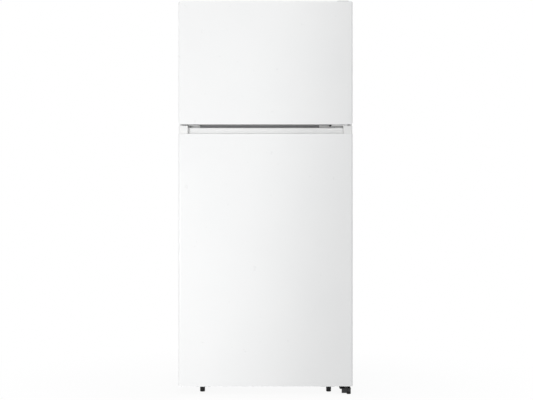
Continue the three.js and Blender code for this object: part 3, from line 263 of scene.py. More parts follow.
def brushed_aluminium(name):
    g = Graph(name)
    lines = g.noise(0.8 * MM, 3, 0.6, (30, 1, 1))
    return g.finish(
        Base_Color=g.blend(g.spread(lines, 0, 1), (0.66, 0.67, 0.69), (0.80, 0.81, 0.82)),
        Metallic=1.0,
        Roughness=g.spread(g.noise(20 * MM), 0.28, 0.42),
        Normal=g.bump(lines, 0.02 * MM, 0.5),
    )


def copper(name):
    g = Graph(name)
    stain = g.noise(12 * MM, 4, 0.65)
    return g.finish(
        Base_Color=g.blend(g.spread(stain, 0, 1), (0.42, 0.20, 0.11), (0.80, 0.42, 0.26)),
        Metallic=1.0,
        Roughness=g.spread(stain, 0.5, 0.25),
        Normal=g.bump(g.noise(3 * MM), 0.02 * MM, 0.4),
    )


def insulating_foam(name):
    g = Graph(name)
    pits = g.cells(1.6 * MM, "Distance")
    return g.finish(
        Base_Color=g.blend(g.spread(g.noise(30 * MM, 4), 0, 1), (0.70, 0.58, 0.32), (0.86, 0.78, 0.52)),
        Roughness=g.spread(g.noise(10 * MM), 0.85, 0.98),
        Normal=g.bump(pits, 0.3 * MM, 0.8),
    )


def soft_rubber(name, pale, shade, roughness):
    g = Graph(name)
    dust = g.noise(14 * MM, 5, 0.65)
    return g.finish(
        Base_Color=g.blend(g.spread(dust, 0, 1), shade, pale),
        Roughness=g.spread(dust, roughness - 0.06, roughness + 0.08),
        Normal=g.bump(g.noise(0.7 * MM, 3), 0.03 * MM, 0.6),
    )


def clear_moulding(name, colour, roughness, transmission):
    """Clear plastic or glass, with faint flow lines and a few finger marks."""
    g = Graph(name)
    flow = g.noise(28 * MM, 2, 0.5, (1, 1, 4))
    marks = g.noise(16 * MM, 5, 0.7)
    low = tuple(0.97 * c for c in colour)
    return g.finish(
        Base_Color=g.blend(g.spread(flow, 0, 1), low, colour),
        Roughness=g.spread(marks, roughness, roughness + 0.05, 0.5, 0.75),
        Normal=g.bump(flow, 0.12 * MM, 0.3),
        Transmission_Weight=transmission,
        IOR=1.5,
    )


def lit_lens(name):
    g = Graph(name)
    haze = g.noise(6 * MM, 3)
    return g.finish(
        Base_Color=g.blend(g.spread(haze, 0, 1), (0.88, 0.88, 0.85), (0.96, 0.96, 0.93)),
        Roughness=g.spread(haze, 0.3, 0.42),
        Normal=g.bump(g.noise(1.2 * MM), 0.03 * MM, 0.4),
        Transmission_Weight=0.45,
        Subsurface_Weight=0.2,
        Subsurface_Scale=0.003,
    )


def printed_ink(name, colour):
    g = Graph(name)
    cover = g.noise(1.5 * MM, 3)
    dark = tuple(0.8 * c for c in colour)
    return g.finish(
        Base_Color=g.blend(g.spread(cover, 0, 1), dark, colour),
        Roughness=g.spread(cover, 0.45, 0.6),
        Normal=g.bump(cover, 0.01 * MM, 0.3),
    )


def plastic(name, pale, shade, roughness, grain=0.9, depth=0.03, sub=0.0, specular=0.5):
    """A moulding whose grain and its depth are in millimetres."""
    return moulded_plastic(name, pale, shade, roughness, grain * MM, depth * MM, sub, specular)


BLACK = (0.012, 0.012, 0.013)
FINISHES = {
    "white_steel": painted_steel("white_enamel", (0.86, 0.86, 0.855), (0.845, 0.846, 0.843), 0.30, 0.35),
    "white_trim": plastic("white_moulding", (0.83, 0.83, 0.82), (0.80, 0.80, 0.79), 0.42),
    "liner_white": plastic("formed_liner", (0.87, 0.88, 0.88), (0.84, 0.85, 0.855), 0.33, 3.5, 0.05, 0.05),
    "foam": insulating_foam("rigid_foam"),
    "gasket": soft_rubber("door_seal", (0.72, 0.72, 0.71), (0.64, 0.64, 0.63), 0.6),
    "black_plastic": plastic(
        "black_moulding", (0.010, 0.010, 0.011), (0.006, 0.006, 0.006), 0.5, 0.8, 0.05, specular=0.25
    ),
    "dark_trim": plastic("grey_moulding", (0.12, 0.122, 0.126), (0.09, 0.092, 0.096), 0.5, 0.9, 0.05),
    "galvanised": galvanised_steel("zinc_sheet"),
    "black_steel": painted_steel("black_enamel", BLACK, (0.008, 0.008, 0.009), 0.42, 0.1),
    "aluminium": brushed_aluminium("plain_aluminium"),
    "clear_plastic": clear_moulding("clear_bin", (0.93, 0.97, 0.98), 0.04, 0.92),
    "shelf_glass": clear_moulding("tempered_glass", (0.86, 0.95, 0.92), 0.0, 1.0),
    "lamp_lens": lit_lens("lamp_diffuser"),
    "white_wire": painted_steel("coated_wire", (0.88, 0.88, 0.88), (0.84, 0.84, 0.84), 0.3, 0.4),
    "black_rubber": soft_rubber("black_tyre", (0.035, 0.035, 0.036), (0.018, 0.018, 0.018), 0.72),
}
COPPER = copper("copper_tube")
INK = printed_ink("grey_print", (0.20, 0.21, 0.23))
# Painted light: a paler copy of the white moulding for the grip strip and its bead, standing in for the light that the
# recess and the freezer door keep off them.
PAINTED_LIT_STRIP = plastic("painted_lit_moulding", (0.94, 0.94, 0.935), (0.92, 0.92, 0.915), 0.4)
# Painted shade: a mid grey for the strip on the mullion, standing in for the deep shade in the gap between the doors.
GAP_PAINTED_SHADE = plastic("painted_gap_shade_moulding", (0.30, 0.303, 0.308), (0.26, 0.263, 0.268), 0.55, 0.9, 0.04)

for node, carried in NODES.items():
    carried.data.materials.clear()
    carried.data.materials.append(FINISHES[SLOT_OF[node]])

# ---- Floor ----

FLOOR_RADIUS = 14
FLOOR_NEAR, FLOOR_FAR = 0.55, 1.5  # the paper fades to even white between these distances
FLOOR_GLOW = 0.9  # share of even white under the object itself

bpy.ops.mesh.primitive_circle_add(vertices=96, radius=FLOOR_RADIUS, fill_type="NGON", location=(0, 0, 0))
floor = bpy.context.object
floor.name = "studio_floor"
floor.visible_diffuse = False  # its glow is for the camera, and would light the undersides too much
ground = Graph("pale_floor")
radial = ground.node("ShaderNodeVectorMath", {"operation": "LENGTH"}, i0=ground.coordinates.outputs["Object"])
fade = ground.node(
    "ShaderNodeMapRange",
    {"interpolation_type": "SMOOTHSTEP"},
    i0=radial.outputs["Value"],
    i1=FLOOR_NEAR,
    i2=FLOOR_FAR,
    i3=FLOOR_GLOW,
)
tone = ground.blend(ground.noise(60 * MM, 3), (0.93, 0.93, 0.93), (0.96, 0.96, 0.96))
paper = ground.node("ShaderNodeBsdfDiffuse", Color=tone)
white = ground.node("ShaderNodeEmission", Color=(1, 1, 1, 1), Strength=1.0)
faded = ground.node("ShaderNodeMixShader", i0=fade.outputs[0], i1=paper.outputs[0], i2=white.outputs[0])
ground.tree.links.new(faded.outputs[0], ground.output.inputs["Surface"])
floor.data.materials.append(ground.material)

# ---- Building blocks ----


def link(name, mesh):
    made = bpy.data.objects.new(name, mesh)
    scene.collection.objects.link(made)
    return made


def from_bmesh(name, bm):
    bmesh.ops.recalc_face_normals(bm, faces=bm.faces)
    mesh = bpy.data.meshes.new(name)
    bm.to_mesh(mesh)
    bm.free()
    return link(name, mesh)


def rounded(u, v, radii, steps=8):
    """Points round a rectangle, with one radius or four: lower left, lower right, upper right, upper left."""
    radii = radii if isinstance(radii, (list, tuple)) else [radii] * 4
    corners = [(u[0], v[0], 1, 1, 180), (u[1], v[0], -1, 1, 270), (u[1], v[1], -1, -1, 0), (u[0], v[1], 1, -1, 90)]
    points = []
    for (x, y, sx, sy, start), radius in zip(corners, radii):
        if radius <= 0:
            points.append((x, y))
            continue
        for i in range(steps + 1):
            angle = math.radians(start + 90 * i / steps)
            points.append((x + sx * radius + radius * math.cos(angle), y + sy * radius + radius * math.sin(angle)))
    return points


AXES = {
    "z": lambda u, v, w: (u, v, w),  # an outline in X and Y, drawn up
    "y": lambda u, v, w: (u, w, v),  # in X and Z, drawn back
    "x": lambda u, v, w: (w, u, v),  # in Y and Z, drawn across
}


def skin(bm, rings, closed=False):
    """Faces between each ring of points and the next."""
    pairs = list(zip(rings, rings[1:]))
    if closed:
        pairs.append((rings[-1], rings[0]))
    for a, b in pairs:
        for k in range(len(a)):
            j = (k + 1) % len(a)
            bm.faces.new([a[k], a[j], b[j], b[k]])


def prism(points, axis, span, name="part"):
    bm = bmesh.new()
    put = AXES[axis]
    rings = [[bm.verts.new(put(u, v, w)) for u, v in points] for w in span]
    bm.faces.new(rings[0])
    bm.faces.new(rings[1][::-1])
    skin(bm, rings)
    return from_bmesh(name, bm)


def block(x, y, z):
    return prism([(x[0], y[0]), (x[1], y[0]), (x[1], y[1]), (x[0], y[1])], "z", z)


def lathe(profile, centre, axis="z", sides=48):
    """A solid of revolution from (radius, height) pairs, whose ends lie on the axis."""
    bm = bmesh.new()
    put = AXES[axis]
    rings = []
    for radius, height in profile:
        if radius < 1e-7:
            rings.append([bm.verts.new(Vector(put(0, 0, height)) + Vector(centre))])
            continue
        ring = []
        for i in range(sides):
            angle = 2 * math.pi * i / sides
            at = Vector(put(radius * math.cos(angle), radius * math.sin(angle), height))
            ring.append(bm.verts.new(at + Vector(centre)))
        rings.append(ring)
    for low, high in zip(rings, rings[1:]):
        for i in range(sides):
            j = (i + 1) % sides
            corners = [low[i % len(low)], low[j % len(low)], high[j % len(high)], high[i % len(high)]]
            unique = list(dict.fromkeys(corners))
            if len(unique) > 2:
                bm.faces.new(unique)
    for ring in (rings[0], rings[-1]):
        if len(ring) > 1:
            bm.faces.new(ring)
    return from_bmesh("part", bm)


def rod(radius, start, length, axis="z", sides=32, chamfer=0.0):
    c = min(chamfer, radius / 2, length / 2)
    profile = [(radius, 0), (radius, length)]
    if c > 0:
        profile = [(radius - c, 0), (radius, c), (radius, length - c), (radius - c, length)]
    return lathe(profile, start, axis, sides)


def tube(path, radius, sides=12, closed=False):
    """A round bar along a path."""
    points = [Vector(p) for p in path]
    count = len(points)
    bm = bmesh.new()
    rings = []
    normal = None
    for i, p in enumerate(points):
        before = points[i - 1] if i or closed else p
        after = points[(i + 1) % count] if i < count - 1 or closed else p
        tangent = (after - before).normalized()
        if normal is None:
            other = Vector((0, 0, 1)) if abs(tangent.z) < 0.9 else Vector((1, 0, 0))
            normal = tangent.cross(other).normalized()
        normal = (normal - tangent * normal.dot(tangent)).normalized()
        side = tangent.cross(normal)
        ring = []
        for k in range(sides):
            angle = 2 * math.pi * k / sides
            ring.append(bm.verts.new(p + radius * (math.cos(angle) * normal + math.sin(angle) * side)))
        rings.append(ring)
    skin(bm, rings, closed)
    if not closed:
        bm.faces.new(rings[0])
        bm.faces.new(rings[-1][::-1])
    return from_bmesh("part", bm)


def bent(points, radius, steps=5):
    """A path with an arc of the given radius at each inner point."""
    points = [Vector(p) for p in points]
    path = [points[0]]
    for before, at, after in zip(points, points[1:], points[2:]):
        a, b = (before - at).normalized(), (after - at).normalized()
        reach = min(radius, 0.45 * (before - at).length, 0.45 * (after - at).length)
        start, end = at + a * reach, at + b * reach
        for i in range(steps + 1):
            t = i / steps
            path.append((1 - t) ** 2 * start + 2 * t * (1 - t) * at + t * t * end)
    return path + [points[-1]]


def applied(obj, kind, **settings):
    modifier = obj.modifiers.new(kind, kind)
    for key, value in settings.items():
        setattr(modifier, key, value)
    evaluated = obj.evaluated_get(bpy.context.evaluated_depsgraph_get())
    mesh = bpy.data.meshes.new_from_object(evaluated)
    obj.modifiers.remove(modifier)
    old = obj.data
    obj.data = mesh
    if not old.users:
        bpy.data.meshes.remove(old)
    return obj


def drop(obj):
    mesh = obj.data
    bpy.data.objects.remove(obj)
    if not mesh.users:
        bpy.data.meshes.remove(mesh)


def boolean(operation, target, *others):
    for other in others:
        bpy.context.view_layer.update()
        applied(target, "BOOLEAN", object=other, operation=operation, solver="EXACT")
        drop(other)
    return target


def cut(target, *cutters):
    return boolean("DIFFERENCE", target, *cutters)


def meet(target, other):
    return boolean("INTERSECT", target, other)


def fuse(target, *others):
    return boolean("UNION", target, *others)


def eased(obj, width, segments=3, angle=30):
    """Rounds every edge that turns by more than angle."""
    limit = {"limit_method": "ANGLE", "angle_limit": math.radians(angle)}
    return applied(obj, "BEVEL", width=width, segments=segments, use_clamp_overlap=True, harden_normals=False, **limit)


def gathered(objs):
    """Several closed shells as one piece."""
    bm = bmesh.new()
    for obj in objs:
        bm.from_mesh(obj.data)
        drop(obj)
    return from_bmesh("part", bm)


def mirrored(obj):
    """A copy on the other side of the middle."""
    bm = bmesh.new()
    bm.from_mesh(obj.data)
    for vert in bm.verts:
        vert.co.x = -vert.co.x
    bmesh.ops.reverse_faces(bm, faces=bm.faces)
    return from_bmesh(obj.name, bm)


def copied(node):
    """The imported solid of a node, its flat faces merged, as a new object."""
    bm = bmesh.new()
    bm.from_mesh(NODES[node].data)
    bmesh.ops.remove_doubles(bm, verts=bm.verts, dist=2e-6)
    flat = math.radians(0.6)
    bmesh.ops.dissolve_limit(bm, angle_limit=flat, verts=bm.verts, edges=bm.edges, delimit={"NORMAL"})
    return from_bmesh(node + "_copy", bm)


def ready(obj, name, body, slot, replaces=(), finish=None, smooth=38):
    """Names a finished piece, shades it, and hangs it on its body."""
    obj.name = name
    obj.data.name = name
    obj.data.materials.clear()
    obj.data.materials.append(finish or FINISHES[slot])
    for polygon in obj.data.polygons:
        polygon.use_smooth = True
        polygon.material_index = 0
    obj.data.set_sharp_from_angle(angle=math.radians(smooth))
    weighted = obj.modifiers.new("weighted", "WEIGHTED_NORMAL")
    weighted.keep_sharp = True
    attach(obj, body)
    if replaces:
        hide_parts(*replaces)


def refined(node, name, width, segments=2):
    """A CAD node's shape with its edges eased."""
    ready(eased(copied(node), width, segments), name, BODY_OF[node], SLOT_OF[node], [node])


def span(node, axis):
    low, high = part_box(node)
    index = "xyz".index(axis)
    return (low[index], high[index])


def spans(node):
    return (span(node, axis) for axis in "xyz")


def both(half):
    """A span on each side of the middle."""
    return (-half, half)


def wider(pair, by):
    return (pair[0] - by, pair[1] + by)


def stood(made, place, axis, sign):
    """Moves a screw from the origin onto a face, along the axis or, where sign is negative, against it."""
    along = Vector(AXES[axis](0, 0, 1))
    for vert in made.data.vertices:
        co = Vector(vert.co)
        if sign < 0:
            co = co - 2 * co.dot(along) * along
        vert.co = co + Vector(place)
    if sign < 0:
        made.data.flip_normals()
    return made


def hex_screw(place, axis, size, head):
    """A hexagon head with a flange."""
    hexagon = [(size * math.cos(math.radians(60 * i)), size * math.sin(math.radians(60 * i))) for i in range(6)]
    profile = [(0, 0), (size * 1.45, 0), (size * 1.4, 0.5 * MM), (size * 1.05, 1.0 * MM), (0, 1.0 * MM)]
    top = eased(prism(hexagon, axis, (0.8 * MM, head)), 0.35 * MM, 2)
    return stood(gathered([lathe(profile, (0, 0, 0), axis, 24), top]), place, axis, 1)


def cross_screw(place, axis, radius=3.6 * MM):
    """A pan head with a cross recess, facing against the axis."""
    profile = [(0, 0), (radius, 0), (radius, 0.5 * MM), (radius * 0.8, 1.5 * MM)]
    profile += [(radius * 0.4, 1.9 * MM), (0, 1.95 * MM)]
    made = lathe(profile, (0, 0, 0), axis, 20)
    arm, wide = radius * 0.55, radius * 0.14
    for u, v in ((arm, wide), (wide, arm)):
        made = cut(made, prism([(-u, -v), (u, -v), (u, v), (-u, v)], axis, mm(1, 3)))
    return stood(made, place, axis, -1)


# ---- Shared sizes of the frame ----

HALF = span("cabinet_shell", "x")[1]
FRONT = span("fridge_door_skin", "y")[0]
FACE, REAR = span("cabinet_shell", "y")
HINGE_PIN = (HALF - 28 * MM, FRONT + 18 * MM)
FIT = 0.3 * MM
SHEET = 1.0 * MM

# ---- Doors ----

EDGE_RADIUS = 10 * MM
FOLD = 2.2 * MM
LIP = 7 * MM
BACK_FLANGE = 14 * MM


def door_panel(node, name, radii):
    """A pressed steel pan: round upright edges, small folds at its ends, open at the back and the ends."""
    x, y, z = spans(node)
    plan = rounded(x, y, [EDGE_RADIUS, EDGE_RADIUS, 0, 0], 12)
    pan = meet(prism(plan, "z", z), prism(rounded(x, z, radii, 10), "y", wider(y, 1 * MM)))
    pan = eased(pan, FOLD, 5, 50)
    inner = rounded(wider(x, -SHEET), wider(y, -SHEET), [EDGE_RADIUS - SHEET] * 2 + [0, 0], 12)
    small = [max(r - SHEET, 0.6 * MM) for r in radii]
    room = meet(
        prism(inner, "z", wider(z, -SHEET)),
        prism(rounded(wider(x, -SHEET), wider(z, -SHEET), small, 10), "y", wider(y, 1 * MM)),
    )
    room = eased(room, FOLD - SHEET, 3, 50)
    behind = block(wider(x, -BACK_FLANGE), off(y[1], -2, 1), wider(z, -BACK_FLANGE))
    ends = block(wider(x, -LIP - 4 * MM), wider(y, -LIP), wider(z, 1 * MM))
    ready(cut(pan, room, behind, ends), name, BODY_OF[node], "white_steel", [node])


door_panel("freezer_door_skin", "freezer_door_panel", mm(13, 13, 8, 8))
door_panel("fridge_door_skin", "fridge_door_panel", mm(3, 3, 3, 3))

refined("freezer_door_top_cap", "freezer_door_upper_end", 0.6 * MM)
refined("freezer_door_bottom_cap", "freezer_door_pocket", 0.8 * MM, 3)
refined("fridge_door_bottom_cap", "fridge_door_lower_end", 0.6 * MM)


def fridge_door_grip():
    """The cap over the fridge door: a pocket behind the skin, a strip set back from it and two end posts."""
    node = "fridge_door_top_cap"
    x, y, z = spans(node)
    skin_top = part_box("fridge_door_skin")[1].z
    set_back = FRONT + 30 * MM
    post_in = x[1] - 40 * MM
    neck_out = HALF - 12 * MM
    strip = block(both(post_in + 2 * MM), (set_back, y[1]), (skin_top + FIT, z[1] - 7.5 * MM))
    bead = block(both(post_in - 6 * MM), off(set_back, -1.6, 4), off(z[1], -14, -8.4))
    strip = fuse(eased(strip, 1.2 * MM, 3), eased(bead, 1.4 * MM, 3))
    # The strip and its bead are painted paler than the posts: painted light in place of the light their recess shades
    # away.
    ready(strip, "fridge_door_grip_strip", BODY_OF[node], "white_trim", finish=PAINTED_LIT_STRIP)
    plan = rounded((post_in, x[1]), (FRONT + 7 * MM, y[1]), mm(4, 9, 0, 0), 8)
    post = eased(prism(plan, "z", (skin_top + FIT, z[1])), 1.2 * MM, 3, 50)
    insert = block(wider(x, -1 * MM), (FRONT + 2 * MM, y[1] - 2 * MM), (z[0], skin_top - 1.4 * MM))
    inside = rounded(both(HALF - 1.3 * MM), (FRONT + 1.3 * MM, y[1] - 1.3 * MM), mm(8.7, 8.7, 0, 0), 8)
    insert = meet(insert, prism(inside, "z", z))
    neck = block(both(neck_out), (set_back, y[1] - 8 * MM), off(skin_top, -10, 1))
    post_neck = block((post_in + 1 * MM, neck_out), (FRONT + 8 * MM, y[1] - 8 * MM), off(skin_top, -10, 1))
    cap = fuse(insert, mirrored(post), post, neck, mirrored(post_neck), post_neck)
    pocket = block(both(post_in - 4 * MM), (FRONT + 8 * MM, set_back - 3 * MM), off(skin_top, -27, 1))
    bore = rod(5.4 * MM, (*HINGE_PIN, z[1] - 21 * MM), 22 * MM)
    ready(cut(cap, eased(pocket, 3 * MM, 3), bore), "fridge_door_grip", BODY_OF[node], "white_trim", [node])


fridge_door_grip()

FRAME_WIDTH = 26 * MM  # of the raised frame on a door's lining
FLUTES = 7


def door_lining(node, name, wall, opening):
    """The formed inner face of a door: a flat rim, shallow flutes and a rounded frame that holds the bins."""
    x, y, z = spans(node)
    outer = eased(prism(rounded(both(wall), opening, 18 * MM, 8), "y", y), 7 * MM, 5, 50)
    plan = rounded(both(wall - FRAME_WIDTH), wider(opening, -FRAME_WIDTH), 14 * MM, 8)
    inner = eased(prism(plan, "y", (y[0] + 2.2 * MM, y[1] + 30 * MM)), 6 * MM, 4, 50)
    foot = block(wider(both(wall), 2 * MM), off(y[0], -20, 0.8), wider(opening, 2 * MM))
    parts = [cut(outer, inner, foot)]
    parts.append(prism(rounded(wider(x, 5 * MM), z, 6 * MM, 4), "y", off(y[0], 0, 1.5)))
    half = wall - FRAME_WIDTH - 34 * MM
    for i in range(FLUTES):
        at = -half + 2 * half * i / (FLUTES - 1)
        flute = block(off(at, -11, 11), off(y[0], 1.0, 3.4), wider(opening, -FRAME_WIDTH - 26 * MM))
        parts.append(eased(flute, 1.1 * MM, 2))
    ready(gathered(parts), name, BODY_OF[node], "liner_white", [node])


door_lining("freezer_door_liner", "freezer_door_lining", 296 * MM, mm(1200, 1605))
door_lining("fridge_door_liner", "fridge_door_lining", 312 * MM, mm(128, 1085))

SEAL_DEPTH = 7.6
SEAL = [  # outline in millimetres: inwards from the rim, back from the lining
    (3.0, 0), (15.0, 0), (15.4, 1.5), (13.2, 2.3), (16.2, 3.2), (17.4, 4.6), (18.0, 6.2), (17.0, SEAL_DEPTH),
    (11.5, SEAL_DEPTH), (11.0, 7.2), (10.4, SEAL_DEPTH), (2.2, SEAL_DEPTH), (0.3, 6.9), (0, 5.6), (1.0, 4.6),
    (3.6, 3.6), (1.6, 2.6), (2.2, 1.2),
]


def door_seal(node, name):
    """A magnetic seal: a bellows between its foot and the face that meets the cabinet, mitred at the corners."""
    x, y, z = spans(node)
    deep = (y[1] - y[0]) / SEAL_DEPTH
    bm = bmesh.new()
    rings = []
    for u, w, su, sw in ((x[0], z[0], 1, 1), (x[1], z[0], -1, 1), (x[1], z[1], -1, -1), (x[0], z[1], 1, -1)):
        rings.append([bm.verts.new((u + su * a * MM, y[0] + b * deep, w + sw * a * MM)) for a, b in SEAL])
    skin(bm, rings, closed=True)
    ready(from_bmesh(name, bm), name, BODY_OF[node], "gasket", [node], smooth=60)


door_seal("freezer_door_gasket", "freezer_door_seal")
door_seal("fridge_door_gasket", "fridge_door_seal")


def tub(x, y, z, wall, radii, base):
    """An open box with its own radius at each upright corner and a rounded base."""
    over = z[1] + base + 5 * MM
    outer = eased(prism(rounded(x, y, radii, 6), "z", (z[0], over)), base, 4, 50)
    inside = rounded(wider(x, -wall), wider(y, -wall), [max(r - wall, 0.5 * MM) for r in radii], 6)
    inner = eased(prism(inside, "z", (z[0] + wall, over + 5 * MM)), max(base - wall, 0.6 * MM), 4, 50)
    lid = block(wider(x, 10 * MM), wider(y, 10 * MM), (z[1], over + 20 * MM))
    return cut(outer, inner, lid)


def door_bin(node):
    """A clear bin with a rolled front rail, shallow ribs across its front and an ear at each side."""
    x, y, z = spans(node)
    body = tub(x, (y[0], y[1] - 1.2 * MM), (z[0], z[1] - 0.8 * MM), 2 * MM, mm(3, 3, 22, 22), 5 * MM)
    parts = [eased(block(wider(x, -24 * MM), off(y[1], -5.4, 0), off(z[1], -16, 0)), 2.2 * MM, 4)]
    for i in range(3):
        low = z[0] + 18 * MM + i * 9 * MM
        rib = block(wider(x, -30 * MM), off(y[1], -2.7, -0.2), off(low, 0, 4))
        parts.append(eased(rib, 1.1 * MM, 3))
    for side in (-1, 1):
        at = side * (x[1] - 1.0 * MM)
        ear = block(sorted((at, at - side * 4 * MM)), off(y[0], 12, 48), off(z[1], -26, -3))
        parts.append(eased(ear, 1.6 * MM, 3))
    ready(fuse(body, *parts), node.replace("bin", "door_bin"), BODY_OF[node], "clear_plastic", [node])


for node in NODES:
    if "_bin_" in node:
        door_bin(node)

# ---- Cabinet ----


def cabinet_wrap():
    """Steel over the sides and the top, folded in round its front and its rear."""
    x, y, z = spans("cabinet_shell")
    below = z[0] - 5 * MM

    def outline(inset, low):
        radius = max(6 * MM - inset, 1 * MM)
        return rounded(wider(x, -inset), (low, z[1] - inset), [0, 0, radius, radius], 8)

    outer = eased(prism(outline(0, z[0]), "y", y), 1.2 * MM, 3, 50)
    inner = prism(outline(SHEET, below), "y", wider(y, -SHEET))
    front = prism(outline(24 * MM, below), "y", off(y[0], -1, 2))
    rear = prism(outline(14 * MM, below), "y", off(y[1], -2, 1))
    ready(cut(outer, inner, front, rear), "cabinet_wrap", "cabinet", "white_steel", ["cabinet_shell"])


cabinet_wrap()

FLANGE_HALF = HALF - 24.3 * MM
FREEZER_ROOM = (306 * MM, mm(1190, 1615), 300 * MM)  # half the width, the heights, the back wall
FRIDGE_ROOM = (322 * MM, mm(118, 1095), 320 * MM)
STEP = mm(115, 335)  # over the machine compartment: its front and its top
LINER_WALL = 1.5 * MM


def room_air(room, step=None):
    """The space inside a compartment, rounded along its corners, from in front of the cabinet to the back wall."""
    half, heights, back = room
    air = prism(rounded(both(half), heights, 18 * MM, 8), "y", (FACE - 40 * MM, back))
    if step:
        air = cut(air, block(both(half + 1 * MM), (step[0], back + 1 * MM), (heights[0] - 1 * MM, step[1])))
    return eased(air, 12 * MM, 5, 50)


def compartment(node, name, room, step, ribs, rib_back):
    """A formed liner: walls, a front flange and ribs that carry the shelves."""
    half = room[0]
    walls = room_air(room, step)
    bm = bmesh.new()
    bm.from_mesh(walls.data)
    drop(walls)
    everything = bm.verts[:] + bm.edges[:] + bm.faces[:]
    bmesh.ops.bisect_plane(bm, geom=everything, plane_co=(0, FACE, 0), plane_no=(0, -1, 0), clear_outer=True)
    walls = from_bmesh("walls", bm)
    back_wall = max(walls.data.polygons, key=lambda p: p.area * abs(p.normal.y))
    if back_wall.normal.y < 0:
        walls.data.flip_normals()
    applied(walls, "SOLIDIFY", thickness=LINER_WALL, offset=1.0, use_rim=True)
    flange = block(both(FLANGE_HALF), (FACE, FACE + LINER_WALL), span(node, "z"))
    parts = [walls, cut(flange, room_air(room, step))]
    for top in ribs:
        rib = block(off(half, -14, 0.7), (-170 * MM, rib_back), off(top, -8, 0))
        rib = eased(rib, 2.4 * MM, 3)
        parts += [rib, mirrored(rib)]
    ready(gathered(parts), name, "cabinet", "liner_white", [node])


FREEZER_SHELF = 1381.25 * MM
COVER_SHELF = 349 * MM
SHELVES = [span("shelf_frame_" + level, "z")[0] - FIT for level in ("lower", "upper")]

compartment("freezer_liner", "freezer_compartment", FREEZER_ROOM, None, [FREEZER_SHELF], 198 * MM)
compartment("fridge_liner", "fridge_compartment", FRIDGE_ROOM, STEP, [COVER_SHELF, *SHELVES], 290 * MM)

refined("mullion_rail", "mullion_face", 0.3 * MM)
refined("front_base_rail", "front_base_channel", 0.3 * MM)
refined("base_plate", "cabinet_base", 0.3 * MM)

# ---- Hinges ----

refined("top_hinge_bracket", "upper_hinge", 0.5 * MM)
refined("top_hinge_cover", "upper_hinge_cover", 1.4 * MM, 3)
refined("middle_hinge_bracket", "middle_hinge", 0.5 * MM)
refined("mullion_blank_cap", "mullion_plug", 0.6 * MM)
refined("bottom_hinge_bracket", "lower_hinge", 0.6 * MM)


def hinge_fittings():
    """A smooth pin over the faceted one of the middle hinge, and the screws of the upper two hinges."""
    low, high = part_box("middle_hinge_bracket")
    under, over = wider(span("middle_hinge_bracket", "z"), -0.2 * MM)
    pin = rod(5.0 * MM, (*HINGE_PIN, under), over - under, chamfer=1.2 * MM, sides=40)
    ready(pin, "middle_hinge_pin", "cabinet", "galvanised")
    for i, x in enumerate((high.x - 16 * MM, low.x + 14 * MM)):
        screw = cross_screw((x, FACE - 3.3 * MM, (low.z + high.z) / 2 - 9 * MM), "y")
        ready(screw, "middle_hinge_screw_%d" % i, "cabinet", "galvanised")
    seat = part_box("top_hinge_bracket")[1].z - 0.2 * MM
    for i, y in enumerate(off(FACE, 24, 52, 76)):
        screw = hex_screw((HALF - 42 * MM, y, seat), "z", 3.6 * MM, 2.8 * MM)
        ready(screw, "upper_hinge_screw_%d" % i, "cabinet", "galvanised")


hinge_fittings()


def gap_parts():
    """What shows between the doors beside the middle hinge: a pale wire cover, a black stop whose black also serves as
    painted shade beside the hinge plate, and a grey strip that is painted shade for the dark gap.
    """
    cover = block(mm(233, 275), off(FACE, -4, -0.4), mm(1143, 1156))
    ready(eased(cover, 1.2 * MM, 3), "mullion_wire_cover", "cabinet", "white_trim")
    # The black stop also fills the spot of shadow beside the hinge plate: partly a real stop, partly painted shade.
    plate_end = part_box("middle_hinge_bracket")[0].x
    stop = block((276 * MM, plate_end - 0.4 * MM), off(FACE, -30, -0.4), mm(1150.6, 1154.8))
    ready(eased(stop, 1.0 * MM, 3), "middle_hinge_stop_and_shade", "cabinet", "black_plastic")
    # This grey strip is painted shade: it darkens the gap where only shadow falls.
    strip = prism(rounded(mm(-283, 232.6), mm(1132, 1166.5), 3 * MM, 4), "y", off(FACE, -1, -0.3))
    ready(eased(strip, 0.25 * MM, 2, 50), "mullion_painted_shade_strip", "cabinet", "dark_trim", finish=GAP_PAINTED_SHADE)


gap_parts()

# ---- Freezer compartment ----


def evaporator_panel():
    """The wall in front of the evaporator: a ringed fan opening with its guard, return slots and shallow flutes."""
    node = "evaporator_cover"
    x, y, z = spans(node)
    wall = 2.5 * MM
    fan_z = 1535 * MM
    outer = eased(prism(rounded(x, z, 18 * MM, 8), "y", y), wall, 3, 50)
    plan = rounded(wider(x, -wall), wider(z, -wall), 15.5 * MM, 8)
    cutters = [prism(plan, "y", (y[0] + wall, y[1] + 1 * MM))]
    cutters.append(rod(54 * MM, (0, y[0] - 1 * MM, fan_z), 6 * MM, "y", 64))
    for i in range(6):
        at = -200 * MM + 80 * MM * i
        slot = rounded(off(at, -32, 32), off(z[0], 14, 24), 4.6 * MM, 6)
        cutters.append(prism(slot, "y", wider(y, 1 * MM)))
    for i in range(13):
        at = -240 * MM + 40 * MM * i
        cutters.append(block(off(at, -2, 2), off(y[0], -1, 0.9), (z[0] + 50 * MM, fan_z - 95 * MM)))
    ready(cut(outer, *cutters), "evaporator_panel", "cabinet", "liner_white", [node])
    wire = 1.3 * MM
    plane = y[0] + 1.6 * MM

    def spot(radius, angle):
        return (radius * MM * math.cos(angle), plane, fan_z + radius * MM * math.sin(angle))

    guard = []
    for radius in (14, 24, 34, 44, 54):
        guard.append(tube([spot(radius, 2 * math.pi * i / 48) for i in range(48)], wire, 8, closed=True))
    for i in range(8):
        guard.append(tube([spot(radius, math.pi * i / 4) for radius in (8, 54)], wire, 8))
    guard.append(rod(10 * MM, (0, y[0] + 0.3 * MM, fan_z), 2.6 * MM, "y", 32, 0.8 * MM))
    ready(gathered(guard), "evaporator_fan_guard", "cabinet", "white_trim")


evaporator_panel()


